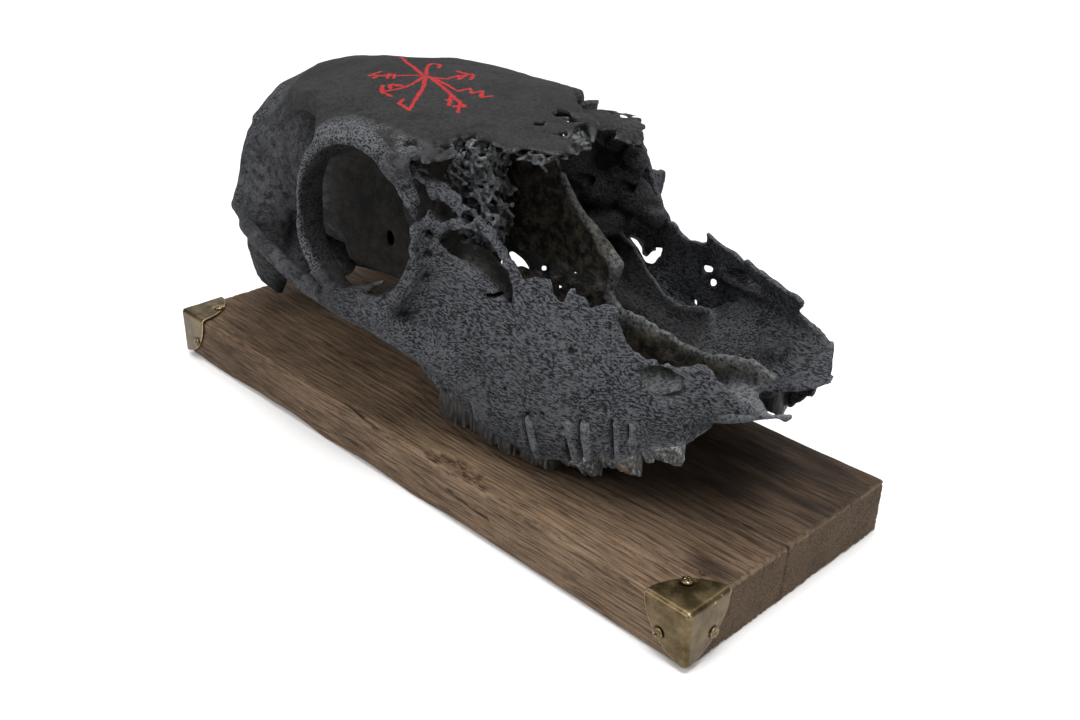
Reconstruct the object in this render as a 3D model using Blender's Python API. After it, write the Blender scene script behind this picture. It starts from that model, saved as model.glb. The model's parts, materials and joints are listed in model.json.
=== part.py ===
"""A hornless elk skull with a broken snout, resting on a weathered board with brass corner caps.

Metres, +Z up. The origin is the middle of the board's underside. +X points to the snout,
and +Y to the animal's left. The board's near side is the -Y side.
"""

import math

import bmesh
import bpy
import numpy as np
from mathutils import Matrix, Vector

MM = 0.001
GAP = 0.0003

# Board
BOARD_LENGTH = 0.3285
BOARD_WIDTH = 0.1222
BOARD_THICKNESS = 0.024
BOARD_EDGE_WEAR = 0.0012
BOARD_CORNER_WEAR = 0.006

# Brass corner caps and their screws
# How far a cap reaches from its corner along the board, across it and down
CAP_REACH = (0.0205, 0.0232, 0.0232)
CAP_WALL = 0.0010
CAP_EDGE_RADIUS = 0.0012
SCREW_HEAD_RADIUS = 0.0024
SCREW_HEAD_RISE = 0.0011
SCREW_SHANK_RADIUS = 0.0010
SCREW_HOLE_RADIUS = 0.0013
SCREW_REACH = 0.0050
SCREW_INSET = 0.0117
SCREW_END_INSET = 0.0131
SCREW_DROP = 0.0131

# The skull is drawn in millimetres in its own axes: x along the head, y to its left, z up.
# One drawn millimetre is SKULL_UNIT of a metre, which makes the skull 335 mm long.
SKULL_UNIT = 1.05 * MM
SKULL_PLACE = (-0.01745, 0.01586, -0.01397)
SKULL_VOXEL = 2.0 * MM
SKULL_FACES_KEPT = 0.048
WALL = 4.0
PLATE_MARGIN = 4.0
FOREHEAD_WALL = 8.0
FOREHEAD_BACK_WALL = 24.0

# Half-width of the face at three heights along the head: (x, z) and (x, half-width)
LOW_HEIGHT = [(5, 56), (30, 52), (60, 46), (90, 45), (115, 53), (138, 66), (168, 83)]
LOW_HALF = [(5, 52), (30, 53), (60, 53), (90, 49), (115, 43), (138, 34), (168, 18)]
MID_HEIGHT = [(5, 100), (30, 95), (60, 85), (90, 78), (115, 85), (138, 90), (168, 96)]
MID_HALF = [(5, 72), (30, 64), (60, 58), (90, 54), (115, 44), (138, 34), (168, 27)]
TOP_HEIGHT = [(5, 152), (30, 150), (60, 145), (90, 135), (115, 125), (138, 118), (168, 112)]
TOP_HALF = [(5, 64), (30, 52), (60, 36), (90, 27), (115, 22), (138, 20), (168, 17)]

# Broken outlines of the two side walls, (x, z)
LOWER_EDGE = [(14, 70), (22, 56), (40, 51), (60, 47), (78, 45), (95, 47), (112, 52), (124, 58), (134, 64)]
NEAR_BREAK = [
    (139, 70), (138, 74), (142, 79), (150, 84), (158, 87), (151, 92), (140, 94), (130, 98), (116, 101),
    (107, 109), (101, 112), (92, 113), (88, 113), (84, 109), (78, 113), (60, 123), (45, 137), (30, 149),
    (16, 150), (14, 140), (24, 124), (24, 106), (10, 90),
]
FAR_BREAK = [
    (140, 68), (146, 74), (153, 79), (156, 86), (150, 92), (138, 104), (133, 106), (114, 105), (104, 108),
    (88, 113), (78, 112), (70, 108), (60, 105), (50, 106), (43, 112), (40, 122), (36, 131), (28, 138),
    (16, 141), (8, 136), (14, 124), (22, 106), (10, 90),
]

# Outline of the forehead from above, (x, y), near side first
FOREHEAD = [
    (-100, -14), (-84, -28), (-64, -40), (-44, -53), (-28, -66), (-14, -77), (0, -82), (14, -80),
    (24, -72), (30, -63), (44, -57), (36, -47), (26, -33), (36, -29), (52, -28), (66, -26),
    (72, -16), (66, -9), (56, -6), (56, 6), (46, 8), (38, 14), (28, 20), (20, 28),
    (22, 36), (12, 42), (6, 48), (-17, 50), (-46, 50), (-64, 40), (-84, 28), (-100, 14),
]

# Outline of the palate from above, (x, y), with the broken ends of the upper jaw
PALATE = [
    (-8, -20), (8, -34), (30, -50), (60, -50), (90, -47), (115, -40), (138, -31), (152, -24), (164, -17),
    (170, -15), (160, -10), (150, -8), (143, -3), (141, 3), (145, 8), (158, 12), (167, 17), (158, 24),
    (150, 30), (138, 31), (115, 40), (90, 47), (60, 50), (30, 50), (8, 34), (-8, 20),
]
PALATE_HEIGHT = [(-8, 66), (30, 62), (60, 60), (90, 62), (115, 68), (138, 76), (170, 86)]

# Outline of the bony plate that divides the nose, (x, z)
DIVIDING_PLATE = [
    (4, 60), (4, 142), (28, 142), (40, 130), (51, 120), (62, 113), (69, 101), (66, 93), (80, 88),
    (100, 86), (128, 88), (134, 84), (120, 66), (60, 58),
]

# Eye socket: middle, opening and how far it is turned to the front
EYE_MIDDLE = (7, 76, 122.5)
EYE_HALF_LENGTH = 26
EYE_HALF_HEIGHT = 29
EYE_TURN = math.radians(14)
EYE_DEPTH = 34
EYE_SIDES = 24

# Cheek teeth from the back forward: name, start x, length, width, how far the crown hangs to
# A crown that stops at CROWN_LOW ends 0.3 mm above the board.
CROWN_LOW = 36.45
CHEEK_TEETH = [
    ("m3", 23.0, 21.2, 14.0, CROWN_LOW),
    ("m2", 44.6, 21.6, 15.0, CROWN_LOW),
    ("m1", 66.6, 18.6, 14.5, CROWN_LOW),
    ("p4", 85.6, 15.6, 13.5, 37.5),
    ("p3", 101.6, 16.0, 13.0, 42.5),
    ("p2", 118.0, 15.6, 11.0, 51.5),
]
TOOTH_ROOT = 9.0
TOOTH_SIDES = 12
SOCKET_GAP = 0.45
TOOTH_INSET = 9.5
RIDGE_WIDTH = 18.0
RIDGE_HEIGHT = 22.0


def clear_scene():
    for old in list(bpy.data.objects):
        bpy.data.objects.remove(old, do_unlink=True)


def material(name, colour, roughness, metallic=0.0):
    made = bpy.data.materials.new(name)
    made.use_nodes = True
    shader = made.node_tree.nodes["Principled BSDF"]
    shader.inputs["Base Color"].default_value = (*colour, 1.0)
    shader.inputs["Roughness"].default_value = roughness
    shader.inputs["Metallic"].default_value = metallic
    return made


def place(name, bm, finish=None):
    """An object of this mesh, with its faces pointing out."""
    bmesh.ops.recalc_face_normals(bm, faces=bm.faces)
    mesh = bpy.data.meshes.new(name)
    bm.to_mesh(mesh)
    bm.free()
    if finish:
        mesh.materials.append(finish)
    made = bpy.data.objects.new(name, mesh)
    bpy.context.scene.collection.objects.link(made)
    return made


def as_cutter(piece):
    piece.hide_render = True
    piece.display_type = "WIRE"
    return piece


def boolean(piece, operation, other):
    step = piece.modifiers.new(f"{operation.lower()} {other.name}", "BOOLEAN")
    step.operation = operation
    step.solver = "EXACT"
    step.object = as_cutter(other)
    return step


def settle(piece):
    """The piece with its modifiers made part of its mesh."""
    graph = bpy.context.evaluated_depsgraph_get()
    mesh = bpy.data.meshes.new_from_object(piece.evaluated_get(graph))
    piece.modifiers.clear()
    piece.data = mesh
    return piece


def curve(x, knots):
    """Smooth value at x of a curve through the knots, level beyond its ends."""
    at, value = np.array(knots, float).T
    slope = np.gradient(value, at)
    x = float(np.clip(x, at[0], at[-1]))
    i = int(np.clip(np.searchsorted(at, x) - 1, 0, len(at) - 2))
    step = at[i + 1] - at[i]
    t = (x - at[i]) / step
    rise = (3 * t**2 - 2 * t**3) * (value[i + 1] - value[i]) + value[i]
    return rise + step * ((t**3 - 2 * t**2 + t) * slope[i] + (t**3 - t**2) * slope[i + 1])


def face_half_width(x, z):
    """Half-width of the face at this place: one parabola through the three heights."""
    heights = [curve(x, knots) for knots in (LOW_HEIGHT, MID_HEIGHT, TOP_HEIGHT)]
    halves = [curve(x, knots) for knots in (LOW_HALF, MID_HALF, TOP_HALF)]
    z = min(max(z, heights[0] - 6), heights[2] + 6)
    total = 0.0
    for i, half in enumerate(halves):
        others = [height for j, height in enumerate(heights) if j != i]
        share = (z - others[0]) * (z - others[1])
        total += half * share / ((heights[i] - others[0]) * (heights[i] - others[1]))
    return total


def forehead_height(x, y):
    side_fall = 3.2 * (max(abs(y) - 8, 0) / 34) ** 2
    front_fall = 0.00055 * max(x + 25, 0) ** 2
    back_fall = 0.0016 * min(x + 45, 0) ** 2
    return 158 - side_fall - front_fall - back_fall


def palate_height(x, y):
    keel = 3 * math.exp(-((y / 7) ** 2))
    flare = 0.006 * max(abs(y) - 12, 0) ** 2 * min(max((x - 60) / 60, 0), 1)
    return curve(x, PALATE_HEIGHT) + keel + flare


def flat(x, y, z):
    return x, y, z


def upright(x, z, y):
    return x, y, z


def prism(outline, low, high, put):
    """A closed prism over an outline. put(u, v, w) gives the place of a point."""
    bm = bmesh.new()
    base = bm.faces.new([bm.verts.new(put(u, v, low)) for u, v in outline])
    raised = bmesh.ops.extrude_face_region(bm, geom=[base])["geom"]
    moved = [item for item in raised if isinstance(item, bmesh.types.BMVert)]
    offset = Vector(put(0, 0, high)) - Vector(put(0, 0, low))
    bmesh.ops.translate(bm, vec=offset, verts=moved)
    return bm


def band(us, vs, surface, put):
    """A closed sheet: surface(u, v) gives its outer and inner height over a grid."""
    bm = bmesh.new()
    layers = []
    for side in (0, 1):
        layers.append([[bm.verts.new(put(u, v, surface(u, v)[side])) for v in vs] for u in us])
    for layer in layers:
        for i in range(len(us) - 1):
            for j in range(len(vs) - 1):
                bm.faces.new((layer[i][j], layer[i + 1][j], layer[i + 1][j + 1], layer[i][j + 1]))
    outer, inner = layers
    last_u, last_v = len(us) - 1, len(vs) - 1
    rim = [(i, 0) for i in range(last_u)] + [(last_u, j) for j in range(last_v)]
    rim += [(i, last_v) for i in range(last_u, 0, -1)] + [(0, j) for j in range(last_v, 0, -1)]
    for (i, j), (k, m) in zip(rim, rim[1:] + rim[:1]):
        bm.faces.new((outer[i][j], outer[k][m], inner[k][m], inner[i][j]))
    return bm


def steps(low, high, size):
    return np.linspace(low, high, round((high - low) / size) + 1)


def plate(name, outline, surface, put, reach, size=6.0):
    """A sheet of bone cut to an outline."""
    us, vs = np.array(outline, float).T
    across = steps(us.min() - PLATE_MARGIN, us.max() + PLATE_MARGIN, size)
    along = steps(vs.min() - PLATE_MARGIN, vs.max() + PLATE_MARGIN, size)
    piece = place(name, band(across, along, surface, put))
    edge = place(f"{name} outline", prism(outline, *reach, put))
    boolean(piece, "INTERSECT", edge)
    return settle(piece)


def ellipsoid(middle, radii, level=3):
    bm = bmesh.new()
    shape = Matrix.Translation(middle) @ Matrix.Diagonal((*radii, 1.0))
    bmesh.ops.create_icosphere(bm, subdivisions=level, radius=1.0, matrix=shape)
    return bm


def smooth_path(points, closed=False, per_span=4):
    """Points of a smooth line through these points, with the values they carry."""
    points = np.array(points, float)
    count = len(points)
    spans = count if closed else count - 1
    path = []
    for i in range(spans):
        around = [(i + k) % count if closed else min(max(i + k, 0), count - 1) for k in (-1, 0, 1, 2)]
        a, b, c, d = points[around]
        bend = 2 * a - 5 * b + 4 * c - d
        twist = 3 * b - a - 3 * c + d
        for t in np.arange(per_span) / per_span:
            path.append(b + 0.5 * ((c - a) * t + bend * t**2 + twist * t**3))
    if not closed:
        path.append(points[-1])
    return np.array(path)


def rope(points, radii, squash=(1, 1, 1), closed=False, sides=10):
    """A rounded bar along a smooth line. squash stretches its section along each axis."""
    rows = smooth_path([(*point, radius) for point, radius in zip(points, radii)], closed)
    bm = bmesh.new()
    rings = []
    for i, (x, y, z, radius) in enumerate(rows):
        before = rows[i - 1] if closed or i else rows[0]
        after = rows[(i + 1) % len(rows)] if closed or i + 1 < len(rows) else rows[-1]
        along = Vector(after[:3] - before[:3]).normalized()
        side = along.cross(Vector((0, 0, 1)) if abs(along.z) < 0.9 else Vector((1, 0, 0))).normalized()
        up = side.cross(along)
        ring = []
        for k in range(sides):
            angle = 2 * math.pi * k / sides
            out = (side * math.cos(angle) + up * math.sin(angle)) * radius
            ring.append(bm.verts.new((x + out.x * squash[0], y + out.y * squash[1], z + out.z * squash[2])))
        rings.append(ring)
    pairs = list(zip(rings, rings[1:])) + ([(rings[-1], rings[0])] if closed else [])
    for first, second in pairs:
        for k in range(sides):
            m = (k + 1) % sides
            bm.faces.new((first[k], first[m], second[m], second[k]))
    if not closed:
        bm.faces.new(rings[0])
        bm.faces.new(rings[-1])
    return bm


def eye_axes(side):
    """Middle of the eye socket, and its directions: forward in its plane, up, and out of it."""
    middle = Vector((EYE_MIDDLE[0], side * EYE_MIDDLE[1], EYE_MIDDLE[2]))
    forward = Vector((math.cos(EYE_TURN), -side * math.sin(EYE_TURN), 0))
    outward = Vector((math.sin(EYE_TURN), side * math.cos(EYE_TURN), 0))
    return middle, forward, outward


def eye_ring(side, start=0.0, end=360.0, count=16):
    """The rim of an eye socket, whole or broken, as a bar around its opening."""
    middle, forward, outward = eye_axes(side)
    whole = end - start >= 360
    points, radii = [], []
    for k in range(count):
        share = k / count if whole else k / (count - 1)
        angle = math.radians(start + (end - start) * share)
        thick = 3.2 + 1.2 * max(-math.sin(angle), 0)
        across = forward * math.cos(angle) * (EYE_HALF_LENGTH + thick * 0.8)
        height = math.sin(angle) * (EYE_HALF_HEIGHT + thick * 0.8)
        points.append(middle + across - outward * 5 + Vector((0, 0, height)))
        radii.append(thick)
    return rope(points, radii, (1, 2.1, 1), closed=whole)


def eye_hollow(side):
    """The funnel of an eye socket, from outside the rim to its floor."""
    middle, forward, outward = eye_axes(side)
    bm = bmesh.new()
    rings = []
    for depth, size in ((14, 1.02), (0, 1.0), (-EYE_DEPTH * 0.6, 0.8), (-EYE_DEPTH, 0.55)):
        ring = []
        for k in range(EYE_SIDES):
            angle = 2 * math.pi * k / EYE_SIDES
            across = forward * math.cos(angle) * EYE_HALF_LENGTH * size
            height = math.sin(angle) * EYE_HALF_HEIGHT * size
            ring.append(bm.verts.new(middle + across + outward * depth + Vector((0, 0, height))))
        rings.append(ring)
    for first, second in zip(rings, rings[1:]):
        for k in range(EYE_SIDES):
            m = (k + 1) % EYE_SIDES
            bm.faces.new((first[k], first[m], second[m], second[k]))
    bm.faces.new(rings[0])
    bm.faces.new(rings[-1])
    return bm


def side_wall(name, side, broken_edge):
    outline = LOWER_EDGE + broken_edge

    def surface(x, z):
        half = face_half_width(x, z)
        return side * half, side * (half - WALL)

    return plate(name, outline, surface, upright, (side * 4, side * 92))


def tooth_ridge(side):
    """The bar of the upper jaw that the cheek teeth stand in."""
    bm = bmesh.new()
    rings = []
    for x in steps(20, 134, 6):
        bottom, top = curve(x, LOW_HEIGHT), curve(x, LOW_HEIGHT) + RIDGE_HEIGHT
        ring = []
        for height, inset in ((0, 0), (0.5, 0), (1, 0), (1, 1), (0.5, 1), (0, 1)):
            z = bottom + (top - bottom) * height
            half = face_half_width(x, z)
            lip = 1.5 if height == 0 else 0
            y = half - 0.6 - lip if inset == 0 else face_half_width(x, bottom) - RIDGE_WIDTH + lip
            ring.append(bm.verts.new((x, side * y, z)))
        rings.append(ring)
    for first, second in zip(rings, rings[1:]):
        for k in range(6):
            m = (k + 1) % 6
            bm.faces.new((first[k], first[m], second[m], second[k]))
    bm.faces.new(rings[0])
    bm.faces.new(rings[-1])
    return bm


def inner_block():
    """The bone between the eye sockets, whose front closes the nose passages."""
    outline = [(-50, -40), (-8, -36), (14, -27), (14, 27), (-8, 36), (-50, 40)]
    bm = prism(outline, 78, 151, flat)
    bmesh.ops.bevel(bm, geom=bm.edges[:], offset=7, segments=2, profile=0.5, affect="EDGES")
    return bm


def skull_forms():
    """Every form of the skull as a closed mesh in drawn millimetres."""
    forms = [
        ("braincase", ellipsoid((-72, 0, 114), (60, 45, 43))),
        ("back of the head", ellipsoid((-108, 0, 100), (25, 42, 38))),
        ("skull base", rope([(-136, 0, 64), (-100, 0, 66), (-60, 0, 72), (-20, 0, 78)], [12, 13, 12, 12])),
        ("wall between the eye sockets", inner_block()),
    ]
    for side in (-1, 1):
        forms += [
            ("nuchal crest", rope(
                [(-114, 0, 142), (-122, side * 18, 137), (-118, side * 33, 127), (-113, side * 42, 113),
                 (-116, side * 46, 98), (-121, side * 48, 87), (-108, side * 50, 84), (-96, side * 50, 90)],
                [5, 4.5, 4, 4, 4.5, 4, 5, 6])),
            ("foot of the back of the head", rope(
                [(-116, side * 42, 86), (-123, side * 41, 64),
                 (-126, side * 35, 48), (-125, side * 31, 38.5)],
                [9, 8, 6, 5.5], (0.7, 1, 1))),
            ("side of the back of the head", ellipsoid((-106, side * 40, 92), (13, 10, 16), 2)),
            ("neck knuckle", ellipsoid((-136, side * 15, 72), (12, 11, 14), 2)),
            ("ear bulb", ellipsoid((-104, side * 34, 68), (15, 10, 14), 2)),
            ("wing behind the palate", rope(
                [(-30, side * 11, 78), (-20, side * 18, 68), (-14, side * 20, 52)],
                [9, 7, 3], (1, 0.6, 1))),
            ("cheek arch", rope(
                [(-112, side * 47, 84), (-99, side * 58, 88), (-84, side * 66, 92), (-64, side * 72, 92),
                 (-44, side * 75, 90), (-24, side * 77, 88), (-4, side * 77, 88), (18, side * 74, 90)],
                [6, 5, 4.5, 4.5, 4.5, 5.5, 6, 7], (1, 0.8, 1))),
            ("cheek root", rope(
                [(-2, side * 76, 88), (18, side * 72, 84), (34, side * 64, 76), (46, side * 58, 68)],
                [6, 8, 9, 8], (1, 0.6, 1))),
            ("post behind the eye", rope(
                [(-22, side * 74, 136), (-30, side * 62, 146), (-40, side * 48, 148)] if side < 0 else
                [(-22, side * 72, 112), (-24, side * 74, 100), (-22, side * 76, 92)],
                [4, 5, 5])),
            ("tooth ridge", tooth_ridge(side)),
        ]
    forms.append(("near eye rim", eye_ring(-1)))
    forms.append(("far eye rim", eye_ring(1, 185, 322)))
    return forms


def skull_plates():
    def forehead(x, y):
        top = forehead_height(x, y)
        share = min(max((-15 - x) / 30, 0), 1)
        return top, top - FOREHEAD_WALL - (FOREHEAD_BACK_WALL - FOREHEAD_WALL) * share

    def palate(x, y):
        top = palate_height(x, y)
        return top, top - WALL

    def divider(x, z):
        return 1.8, -1.8

    return [
        plate("forehead", FOREHEAD, forehead, flat, (120, 175)),
        plate("palate", PALATE, palate, flat, (40, 120)),
        plate("divider", DIVIDING_PLATE, divider, upright, (-6, 6)),
        side_wall("near wall", -1, NEAR_BREAK),
        side_wall("far wall", 1, FAR_BREAK),
    ]


def skull_hollows():
    """What is cut into the skull: eye sockets, neck hole, throat and the nerve holes of the cheeks."""
    hollows = [
        ("near eye hollow", eye_hollow(-1)),
        ("far eye hollow", eye_hollow(1)),
        ("neck hole", ellipsoid((-146, 0, 84), (28, 12, 11), 2)),
        ("throat", ellipsoid((2, 0, 62), (26, 13, 13), 2)),
    ]
    for side in (-1, 1):
        hollows.append(("nerve hole of the cheek", rope(
            [(140, side * 40, 86), (126, side * 36, 88), (112, side * 30, 88)], [5, 5, 4])))
    return hollows


def to_place(piece):
    """Takes a piece from drawn millimetres to its real size and place."""
    piece.data.transform(Matrix.Translation(SKULL_PLACE) @ Matrix.Diagonal((*[SKULL_UNIT] * 3, 1.0)))
    return piece


def join_all(name, pieces):
    """One object that holds the meshes of all these, which are then removed."""
    bm = bmesh.new()
    for piece in pieces:
        bm.from_mesh(piece.data)
        bpy.data.objects.remove(piece, do_unlink=True)
    return place(name, bm)


def tooth_outline(length, width, grow):
    """A squared outline from below with a waist between two lobes, about its middle."""
    outline = []
    for k in range(TOOTH_SIDES):
        angle = 2 * math.pi * k / TOOTH_SIDES
        along = math.copysign(abs(math.cos(angle)) ** 0.6, math.cos(angle))
        across = math.copysign(abs(math.sin(angle)) ** 0.6, math.sin(angle))
        waist = 0.84 if abs(along) < 0.1 else 1.0
        outline.append((along * (length / 2 + grow), across * (width / 2 + grow) * waist))
    return outline


def tooth_mesh(side, start, length, width, tip, grow=0.0):
    """A cheek tooth with its root up in the jaw, or its socket when it is grown a little."""
    middle = start + length / 2
    margin = curve(middle, LOW_HEIGHT)
    y = side * (face_half_width(middle, margin) - TOOTH_INSET)
    levels = [
        (margin + TOOTH_ROOT + grow, 0.70),
        (margin + 2, 0.94),
        (margin - 2, 1.0),
        (tip + 1.5 - grow, 0.97),
        (tip - grow, 0.84),
    ]
    bm = bmesh.new()
    rings = []
    for z, size in levels:
        ring = []
        for u, v in tooth_outline(length, width, grow):
            ring.append(bm.verts.new((middle + u * size, y + v * size, z)))
        rings.append(ring)
    for first, second in zip(rings, rings[1:]):
        for k in range(TOOTH_SIDES):
            m = (k + 1) % TOOTH_SIDES
            bm.faces.new((first[k], first[m], second[m], second[k]))
    bm.faces.new(rings[0])
    bm.faces.new(rings[-1])
    return bm


def grow_together(piece):
    """The piece's overlapping forms as one even skin of small faces."""
    remesh = piece.modifiers.new("grown together", "REMESH")
    remesh.mode = "VOXEL"
    remesh.voxel_size = SKULL_VOXEL
    return settle(piece)


def make_skull(finish):
    forms = [to_place(place(name, bm)) for name, bm in skull_forms()]
    plates = [to_place(piece) for piece in skull_plates()]
    skull = grow_together(join_all("skull", forms + plates))
    for name, bm in skull_hollows():
        boolean(skull, "DIFFERENCE", to_place(place(name, bm)))
    grow_together(skull)
    fewer = skull.modifiers.new("fewer faces", "DECIMATE")
    fewer.ratio = SKULL_FACES_KEPT
    settle(skull)
    for side in (-1, 1):
        for _, start, length, width, tip in CHEEK_TEETH:
            socket = tooth_mesh(side, start, length, width, tip, SOCKET_GAP)
            boolean(skull, "DIFFERENCE", to_place(place("socket", socket)))
    settle(skull)
    skull.data.materials.clear()
    skull.data.materials.append(finish)
    return skull


def make_teeth(finish):
    for side, word in ((-1, "near"), (1, "far")):
        for name, start, length, width, tip in CHEEK_TEETH:
            to_place(place(f"tooth_{word}_{name}", tooth_mesh(side, start, length, width, tip), finish))


def box(low, high):
    bm = bmesh.new()
    size = Vector(high) - Vector(low)
    shape = Matrix.Translation((Vector(low) + Vector(high)) / 2) @ Matrix.Diagonal((*size, 1.0))
    bmesh.ops.create_cube(bm, size=1.0, matrix=shape)
    return bm


def screw_places(end):
    """Where the three screws of a cap sit on the board, and which way each points out."""
    x = end * (BOARD_LENGTH / 2 - SCREW_INSET)
    y = -(BOARD_WIDTH / 2 - SCREW_END_INSET)
    z = BOARD_THICKNESS - SCREW_DROP
    return [
        ("top", Vector((x, y, BOARD_THICKNESS)), Vector((0, 0, 1))),
        ("side", Vector((x, -BOARD_WIDTH / 2, z)), Vector((0, -1, 0))),
        ("end", Vector((end * BOARD_LENGTH / 2, y, z)), Vector((end, 0, 0))),
    ]


def turned(profile, spot, outward, sides=8):
    """A body turned from (radius, height) points, standing at spot along outward."""
    turn = Vector((0, 0, 1)).rotation_difference(outward).to_matrix().to_4x4()
    bm = bmesh.new()
    rings = []
    for radius, height in profile:
        ring = []
        for k in range(sides):
            angle = 2 * math.pi * k / sides
            ring.append(bm.verts.new((radius * math.cos(angle), radius * math.sin(angle), height)))
        rings.append(ring)
    for first, second in zip(rings, rings[1:]):
        for k in range(sides):
            m = (k + 1) % sides
            bm.faces.new((first[k], first[m], second[m], second[k]))
    bm.faces.new(rings[0])
    bm.faces.new(rings[-1])
    bm.transform(Matrix.Translation(spot) @ turn)
    return bm


def screw_hole(spot, outward):
    reach = SCREW_REACH + GAP
    return turned([(SCREW_HOLE_RADIUS, -reach), (SCREW_HOLE_RADIUS, 4 * CAP_WALL)], spot, outward)


def make_board(finish):
    half_length, half_width = BOARD_LENGTH / 2, BOARD_WIDTH / 2
    worn = BOARD_CORNER_WEAR
    outline = [
        (-half_length, -half_width), (half_length, -half_width), (half_length, half_width - worn),
        (half_length - worn * 0.8, half_width), (-half_length + worn * 0.5, half_width),
        (-half_length, half_width - worn * 0.6),
    ]
    plank = prism(outline, 0.0, BOARD_THICKNESS, flat)
    bmesh.ops.bevel(plank, geom=plank.edges[:], offset=BOARD_EDGE_WEAR, segments=1, affect="EDGES")
    board = place("board", plank, finish)
    for end in (-1, 1):
        for _, spot, outward in screw_places(end):
            boolean(board, "DIFFERENCE", place("pilot hole", screw_hole(spot, outward)))
    return board


def make_cap(name, end, finish):
    """A pressed corner cap: three plates with round outlines that wrap one corner of the board."""
    corner = Vector((end * BOARD_LENGTH / 2, -BOARD_WIDTH / 2, BOARD_THICKNESS))
    inward = Vector((-end, 1, -1))
    outer_corner = corner - inward * (GAP + CAP_WALL)
    inner_corner = corner - inward * GAP
    beyond = 2 * max(CAP_REACH)
    shell = box(outer_corner, corner + inward * beyond)
    edges = shell.edges[:]
    bmesh.ops.bevel(
        shell, geom=edges, offset=CAP_EDGE_RADIUS, segments=2, profile=0.5, affect="EDGES")
    cap = place(name, shell, finish)
    hollow = box(inner_corner, corner + inward * 1.5 * beyond)
    boolean(cap, "DIFFERENCE", place("board corner", hollow))
    boolean(cap, "INTERSECT", place("cap outline", ellipsoid(corner, CAP_REACH)))
    for _, spot, outward in screw_places(end):
        boolean(cap, "DIFFERENCE", place("cap hole", screw_hole(spot, outward)))
    return cap


def make_screws(cap_name, end, finish):
    seat = GAP + CAP_WALL + GAP
    profile = [
        (SCREW_SHANK_RADIUS * 0.4, -SCREW_REACH),
        (SCREW_SHANK_RADIUS, -SCREW_REACH + 0.0015),
        (SCREW_SHANK_RADIUS, seat),
        (SCREW_HEAD_RADIUS, seat),
        (SCREW_HEAD_RADIUS, seat + SCREW_HEAD_RISE * 0.3),
        (SCREW_HEAD_RADIUS * 0.8, seat + SCREW_HEAD_RISE * 0.8),
        (SCREW_HEAD_RADIUS * 0.4, seat + SCREW_HEAD_RISE),
    ]
    for word, spot, outward in screw_places(end):
        screw = place(f"screw_{cap_name}_{word}", turned(profile, spot, outward), finish)
        screw.data.shade_smooth()
        screw.data.set_sharp_from_angle(angle=math.radians(40))


def main():
    clear_scene()
    bone = material("stained bone", (0.045, 0.047, 0.055), 0.62)
    enamel = material("stained tooth", (0.05, 0.05, 0.052), 0.5)
    wood = material("weathered wood", (0.12, 0.07, 0.045), 0.8)
    brass = material("aged brass", (0.42, 0.30, 0.16), 0.38, 1.0)
    make_skull(bone)
    make_teeth(enamel)
    make_board(wood)
    for cap_name, end in (("front", 1), ("back", -1)):
        make_cap(f"cap_{cap_name}", end, brass)
        make_screws(cap_name, end, brass)


main()
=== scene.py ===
import json
import math

import bmesh
import bpy
import numpy as np
from mathutils import Matrix, Vector

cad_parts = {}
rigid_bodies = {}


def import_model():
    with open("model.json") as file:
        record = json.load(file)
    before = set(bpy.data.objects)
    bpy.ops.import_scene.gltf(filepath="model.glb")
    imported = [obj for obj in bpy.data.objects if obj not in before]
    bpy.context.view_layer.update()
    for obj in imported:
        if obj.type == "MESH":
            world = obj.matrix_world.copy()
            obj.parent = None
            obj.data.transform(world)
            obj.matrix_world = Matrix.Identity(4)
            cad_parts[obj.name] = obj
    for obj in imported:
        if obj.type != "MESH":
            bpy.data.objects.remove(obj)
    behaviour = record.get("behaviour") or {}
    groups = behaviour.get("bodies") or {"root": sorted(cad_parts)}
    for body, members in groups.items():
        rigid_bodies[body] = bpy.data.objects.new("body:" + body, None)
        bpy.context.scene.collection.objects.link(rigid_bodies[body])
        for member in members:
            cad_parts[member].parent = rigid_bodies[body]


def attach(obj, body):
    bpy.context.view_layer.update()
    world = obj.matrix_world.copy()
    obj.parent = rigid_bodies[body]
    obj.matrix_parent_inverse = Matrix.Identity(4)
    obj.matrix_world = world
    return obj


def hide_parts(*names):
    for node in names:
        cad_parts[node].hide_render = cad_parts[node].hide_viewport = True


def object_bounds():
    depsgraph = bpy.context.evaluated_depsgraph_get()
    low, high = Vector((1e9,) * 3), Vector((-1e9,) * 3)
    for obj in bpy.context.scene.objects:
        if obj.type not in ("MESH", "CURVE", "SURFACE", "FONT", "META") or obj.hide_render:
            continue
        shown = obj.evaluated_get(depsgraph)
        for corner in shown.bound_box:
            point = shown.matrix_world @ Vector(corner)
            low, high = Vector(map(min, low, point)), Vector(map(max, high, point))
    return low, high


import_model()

# What a new Blender file starts with
for old in [piece for piece in bpy.data.objects if piece.name in ("Cube", "Camera", "Light")]:
    bpy.data.objects.remove(old, do_unlink=True)
cad_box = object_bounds()

MM = 0.001
SINGLE = np.float32

# The skull is drawn in millimetres in its own axes, x along the head, y to its left, z up.
# One drawn millimetre is SKULL_UNIT real ones, and SKULL_PLACE is the drawing's zero in real ones.
SKULL_UNIT = 1.05
SKULL_PLACE = np.array((-17.45, 15.86, -13.97))
SKULL_CELL = 1.02
SKULL_TRIANGLES, SIEVE_TRIANGLES = 150000, 42000
BOARD_TOP = 24.0
BOARD_LENGTH, BOARD_WIDTH = 328.5, 122.2
FIELD_LOW, FIELD_HIGH = (-166, -97, 30), (176, 97, 170)

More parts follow.
